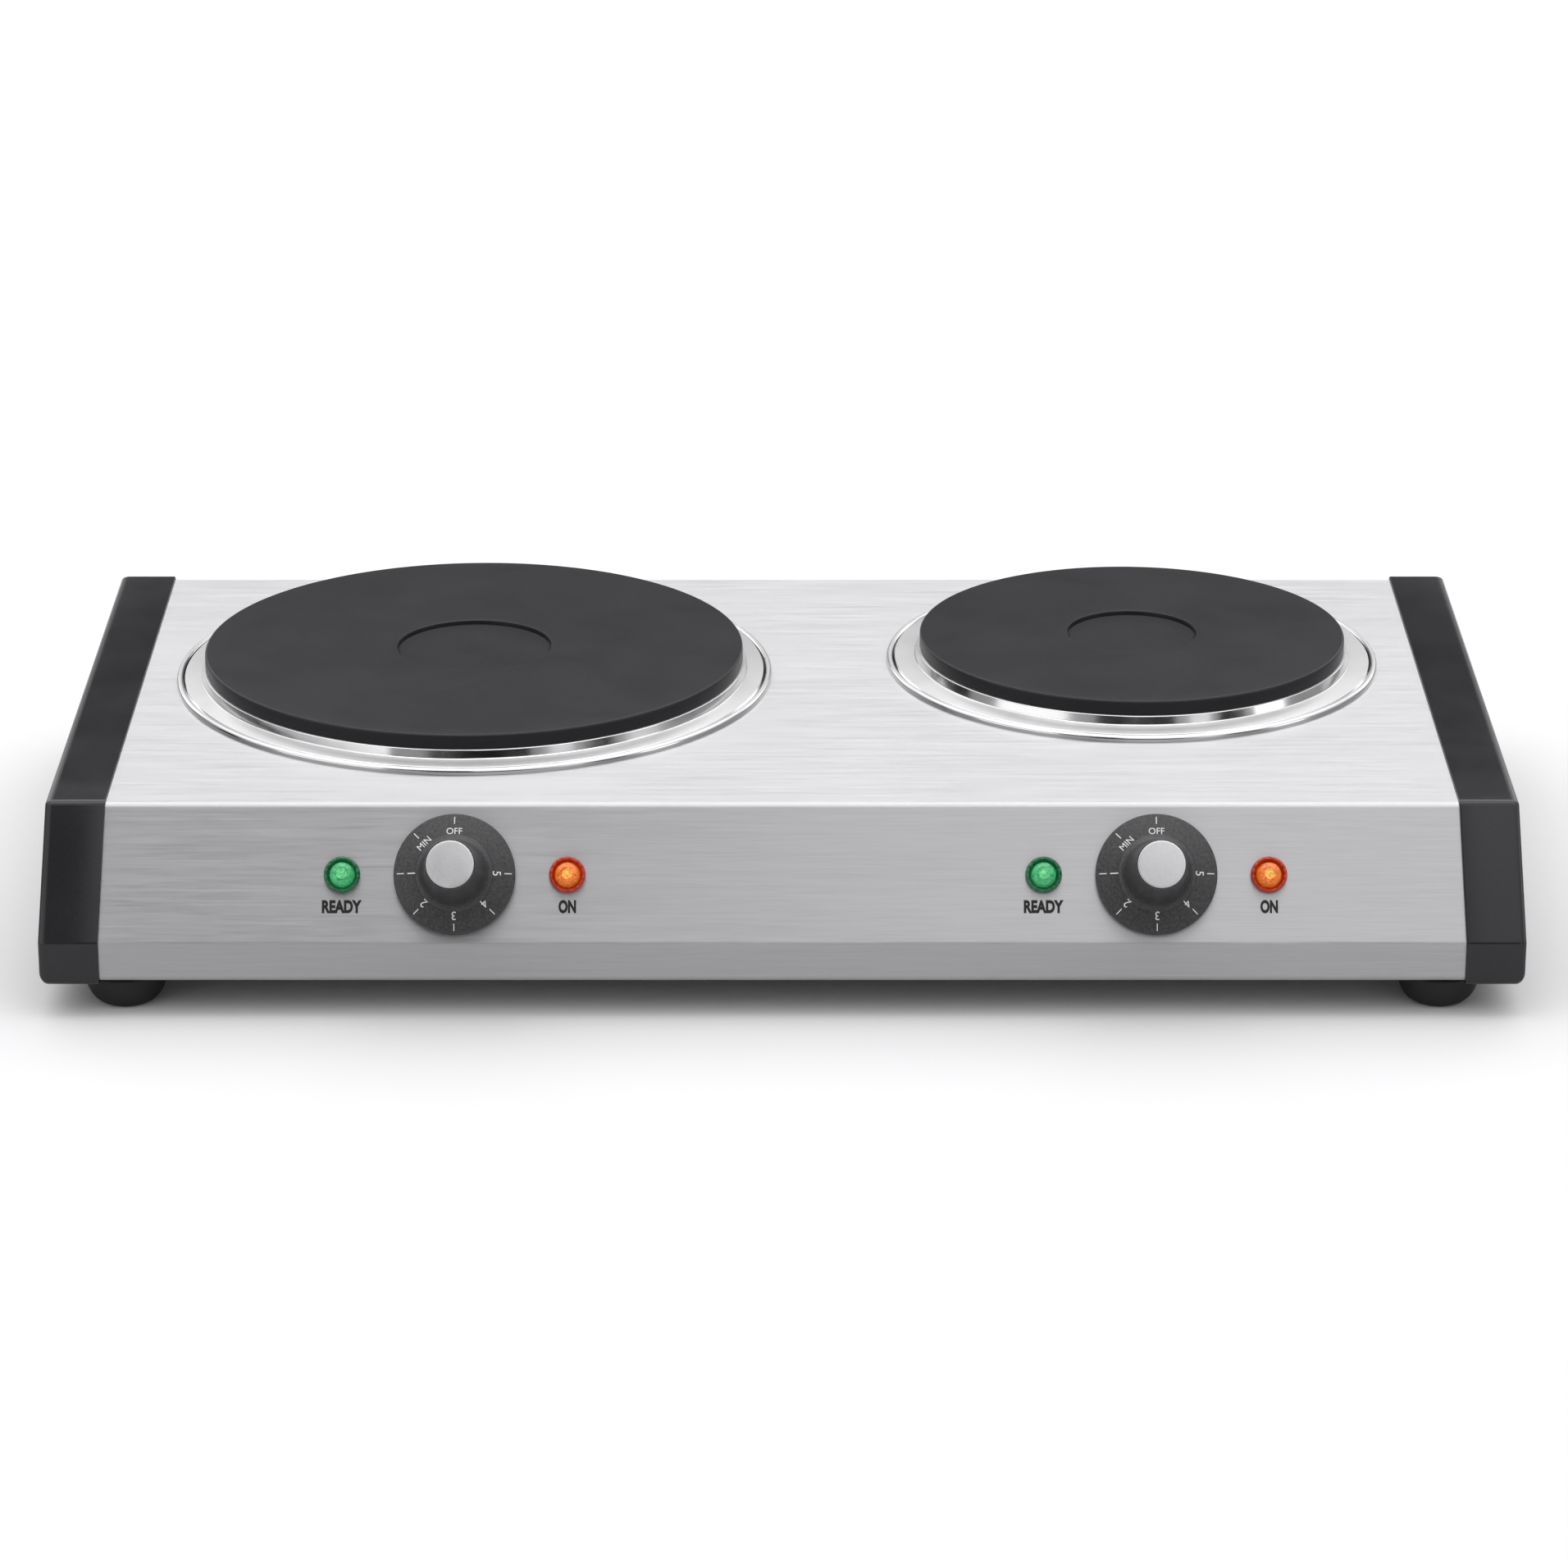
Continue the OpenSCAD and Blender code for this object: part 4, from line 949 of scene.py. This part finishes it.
def ribbed(bm):
    """Shallow flutes moulded into the top of a lens's rim."""
    count = 16
    depth = 0.16 * MM
    lowest = 1.2 * MM
    innermost = 4.4 * MM
    for vert in bm.verts:
        if vert.co.z > lowest and math.hypot(vert.co.x, vert.co.y) > innermost:
            wave = math.cos(count * math.atan2(vert.co.y, vert.co.x))
            vert.co.z -= depth * (1 + wave) / 2
    return bm


def add_lens(kind, side):
    """A clear lens in three shades: a rolled rim, the bowl above it, and the eye with its small step."""
    node = f"{kind}_lens_{side}"
    place = on_panel(middle(node).x)
    slot = {"ready": "green_lens", "on": "amber_lens"}[kind]
    rim = ribbed(turned(in_mm([RIM_EDGE_MM] + curve_through(RIM_MM, 4) + BARREL_MM), 96))
    bowl = turned(in_mm(curve_through(BOWL_MM, 5) + [(1.7, 3.2), (3.3, 0.4)]), 96)
    eye = turned(in_mm(curve_through(EYE_MM, 5) + [(0.001, 3.1), (1.7, 3.1)]), 64, closed=False)
    add_piece(f"lamp_rim_{kind}_{side}", rim, "body", slot, [node], place)
    add_piece(f"lamp_bowl_{kind}_{side}", bowl, "body", place=place, material=GLOW[kind + "_bowl"])
    add_piece(f"lamp_eye_{kind}_{side}", eye, "body", place=place, material=GLOW[kind + "_eye"])


# ---- screws and gland ----

BASE_SCREW_XS_MM = (-170, 0, 170)
REAR_SCREW_XS_MM = (-190, -60, 60, 190)
REAR_SCREW_DOWN_MM = 7
FOOT_SCREW_Z_MM = 5.8
SCREW_GAP_MM = 0.05
GLAND_BORE_MM = 3.9
GLAND_NECK_MM = 6.2
MOUNT_INSET_MM = 5.4  # from the rear wall in to the middle of the gland's bore, where its mount is


def screw_mesh(shank, length, head, height):
    """A pan-head screw with a cross recess, sized in millimetres. Its head's underside is at the origin."""
    profile = [(0, -length), (shank - 0.4, -length), (shank, 1 - length), (shank, 0), (head, 0)]
    profile += [(head * math.cos(t), height * (0.35 + 0.65 * math.sin(t))) for t in quarter(6)[:-1]]
    profile += [(0, height)]
    bm = turned(in_mm(profile), 32, closed=False)
    bmesh.ops.recalc_face_normals(bm, faces=bm.faces)
    piece = as_object("screw", bm)
    shape = Matrix.Diagonal((head * 1.15 * MM, 0.6 * MM, height * 0.9 * MM, 1))
    raised = Matrix.Translation((0, 0, height * 0.95 * MM))
    cutters = []
    for turn in (0, math.pi / 2):
        slot = bmesh.new()
        bmesh.ops.create_cube(slot, size=1, matrix=Matrix.Rotation(turn, 4, "Z") @ raised @ shape)
        cutters.append(as_object("cutter", slot))
    cut(piece, cutters)
    made = piece.data.copy()
    bpy.data.objects.remove(piece)
    return made


def add_screws(name, node, mesh, places):
    """Copies of one screw, as one piece."""
    bm = bmesh.new()
    for place in places:
        copy = mesh.copy()
        copy.transform(place)
        bm.from_mesh(copy)
        bpy.data.meshes.remove(copy)
    add_piece(name, bm, "body", "zinc_screw", [node])


def add_all_screws():
    """The small screws of the base and the rear wall, and the longer ones in the feet."""
    down = Matrix.Rotation(math.pi, 4, "X")
    foot_ys = (middle("foot_front_left").y, middle("foot_back_left").y)
    gap = SCREW_GAP_MM * MM
    places = [Matrix.Translation((x * MM, y, base_z - gap)) @ down for x in BASE_SCREW_XS_MM for y in foot_ys]
    raised = Matrix.Translation((0, 0, gap))
    places += [on_rear(x * MM, REAR_SCREW_DOWN_MM * MM) @ raised for x in REAR_SCREW_XS_MM]
    small = screw_mesh(shank=1.5, length=7, head=3, height=1.9)
    add_screws("case_screws", "housing_screws", small, places)
    places = []
    for end in ("front", "back"):
        for side in ("left", "right"):
            centre = middle(f"foot_{end}_{side}")
            places.append(Matrix.Translation((centre.x, centre.y, FOOT_SCREW_Z_MM * MM)) @ down)
    long = screw_mesh(shank=1.9, length=13, head=3.8, height=2.3)
    add_screws("grip_screws", "foot_screws", long, places)


def add_gland():
    """A snap-in gland: a rounded flange outside, a ribbed barrel inside."""
    bore = GLAND_BORE_MM
    neck = GLAND_NECK_MM
    flange = rounded([(bore, 2.6), (7.6, 2.6), (9, 1.2), (9, -0.75), (neck, -0.75)], [0, 0.8, 0.8, 0.2, 0], 6)
    catch = [(neck, -1.75), (8.6, -1.75), (8.6, -4.2), (7.6, -5.2), (neck, -5.2)]
    ribs = []
    for k in range(4):
        z = -6.0 - 1.8 * k
        ribs += [(neck, z), (neck - 0.5, z - 0.3), (neck - 0.5, z - 0.9), (neck, z - 1.2)]
    profile = flange + catch + ribs + [(neck, -13.4), (bore, -13.4)]
    mount = Vector(cord_entry["pos_m"])
    down = (top_z - mount.z - MOUNT_INSET_MM * MM * math.sin(rear_tilt)) / math.cos(rear_tilt)
    place = on_rear(mount.x, down)
    add_piece("cord_bush", turned(in_mm(profile), 96), "body", "gland_moulding", ["cord_gland"], place)


# ---- carried-over CAD nodes ----

def finish_cad_nodes():
    """Every CAD node that still shows takes its slot's finish."""
    slots = {s["node"]: s["material_slot"] for s in frame["record"]["subparts"]}
    for name, node in frame["nodes"].items():
        node.data.materials.clear()
        node.data.materials.append(FINISH[slots[name]])


# ---- stage ----

FLOOR_SIZE = (40, 40)
FLOOR_TONE = 0.53
CARD_TONE = 0.01

# name, (width, height), middle, lean from lying flat and turn about Z in degrees
CARDS = [
    ("dark_front", (2.0, 1.1), (0.1, -2.6, 0.5), 90, 0),
    ("dark_back", (1.7, 1.0), (0, 2.6, 1.05), 90, 0),
    ("dark_left_high", (1.1, 0.8), (-0.63, -1.62, 1.18), 54, 0),
    ("dark_overhead", (1.7, 0.2), (0.05, -0.82, 1.5), -27, 0),
    ("dark_right", (0.55, 1.0), (1.85, -1.4, 0.5), 90, 53),
    ("dark_left", (0.55, 1.0), (-2.3, 0.5, 0.5), 90, -100),
]

# name, middle, point it faces, (width, height), brightness
SOFTBOXES = [
    ("overhead", (0, -0.2, 1.9), (0, -0.1, 0), (2.0, 0.7), 2.1),
    ("left_side", (-2.0, -1.4, 0.5), (0, 0, 0.1), (1.9, 0.8), 1.4),
    ("right_front", (1.45, -2.0, 0.45), (0, 0, 0.1), (0.45, 0.7), 1.0),
    ("right_side", (2.2, -0.6, 0.5), (0, 0, 0.1), (0.7, 0.8), 2.2),
    ("back_high", (0, 1.5, 1.75), (0, 0, 0.1), (2.6, 0.8), 1.9),
    ("back_left", (-1.75, 2.3, 0.95), (0, 0, 0.1), (1.3, 0.9), 1.5),
    ("back_right", (1.75, 2.3, 0.95), (0, 0, 0.1), (1.3, 0.9), 1.5),
]

# (height of a direction above level, as its sine, and tone)
SKY = [(0.0, 0.14), (0.28, 0.19), (0.5, 0.41), (0.8, 0.74), (1.0, 0.62)]
SKY_BLUE = 1.01
SKY_STRENGTH = 2.9


def add_sheet(name, size, place, tone):
    """A flat studio surface: the floor, or a card."""
    bm = bmesh.new()
    bmesh.ops.create_grid(bm, x_segments=1, y_segments=1, size=0.5)
    sheet = as_object(name, bm, place @ Matrix.Diagonal((*size, 1, 1)))
    n = Nodes(name)
    n.to("Base Color", n.ramp(n.noise(2, detail=3), [(0.3, shade(tone * 0.985)), (0.7, shade(tone))]))
    n.set(Roughness=0.9, Specular_IOR_Level=0.1)
    sheet.data.materials.append(n.material)
    return sheet


def add_card(name, size, at, lean, turn):
    """A dark card that shows only as a reflection in polished metal and gloss."""
    turned_up = Matrix.Rotation(math.radians(turn), 4, "Z") @ Matrix.Rotation(math.radians(lean), 4, "X")
    card = add_sheet(name, size, Matrix.Translation(at) @ turned_up, CARD_TONE)
    card.visible_camera = False
    card.visible_diffuse = False
    card.visible_shadow = False


def add_softbox(name, at, aim, size, brightness):
    """A rectangular light. brightness is its radiance, as a reflection shows it."""
    data = bpy.data.lights.new(name, "AREA")
    data.shape = "RECTANGLE"
    data.size, data.size_y = size
    data.energy = brightness * math.pi * size[0] * size[1]
    light = bpy.data.objects.new(name, data)
    light.location = at
    way = Vector(aim) - Vector(at)
    light.rotation_euler = way.to_track_quat("-Z", "Y").to_euler()
    scene.collection.objects.link(light)


def add_world():
    """Studio light from all round: dim near the horizon, brightest high up."""
    world = bpy.data.worlds.new("studio")
    world.use_nodes = True
    tree = world.node_tree
    tree.nodes.clear()
    output = tree.nodes.new("ShaderNodeOutputWorld")
    background = tree.nodes.new("ShaderNodeBackground")
    place = tree.nodes.new("ShaderNodeTexCoord")
    split = tree.nodes.new("ShaderNodeSeparateXYZ")
    ramp = tree.nodes.new("ShaderNodeValToRGB")
    fill_ramp(ramp, [(position, (tone, tone, tone * SKY_BLUE)) for position, tone in SKY])
    tree.links.new(place.outputs["Generated"], split.inputs["Vector"])
    tree.links.new(split.outputs["Z"], ramp.inputs["Fac"])
    tree.links.new(ramp.outputs["Color"], background.inputs["Color"])
    tree.links.new(background.outputs["Background"], output.inputs["Surface"])
    background.inputs["Strength"].default_value = SKY_STRENGTH
    scene.world = world


def add_stage():
    """A pale floor, dark cards for bright metal and gloss to mirror, and the lights."""
    add_sheet("floor", FLOOR_SIZE, Matrix.Identity(4), FLOOR_TONE)
    for card in CARDS:
        add_card(*card)
    add_world()
    for softbox in SOFTBOXES:
        add_softbox(*softbox)


# ---- all of it ----

add_housing()
for side in ("left", "right"):
    add_end_cap(side)
    add_knob(side)
    add_dial_marks(side)
    add_legends(side)
    for kind in ("ready", "on"):
        add_lens(kind, side)
    for end in ("front", "back"):
        add_foot(f"{end}_{side}")
for size in ("large", "small"):
    add_plate(size)
    add_ring(size)
add_all_screws()
add_gland()
finish_cad_nodes()
add_stage()
scene.view_settings.view_transform = "Standard"
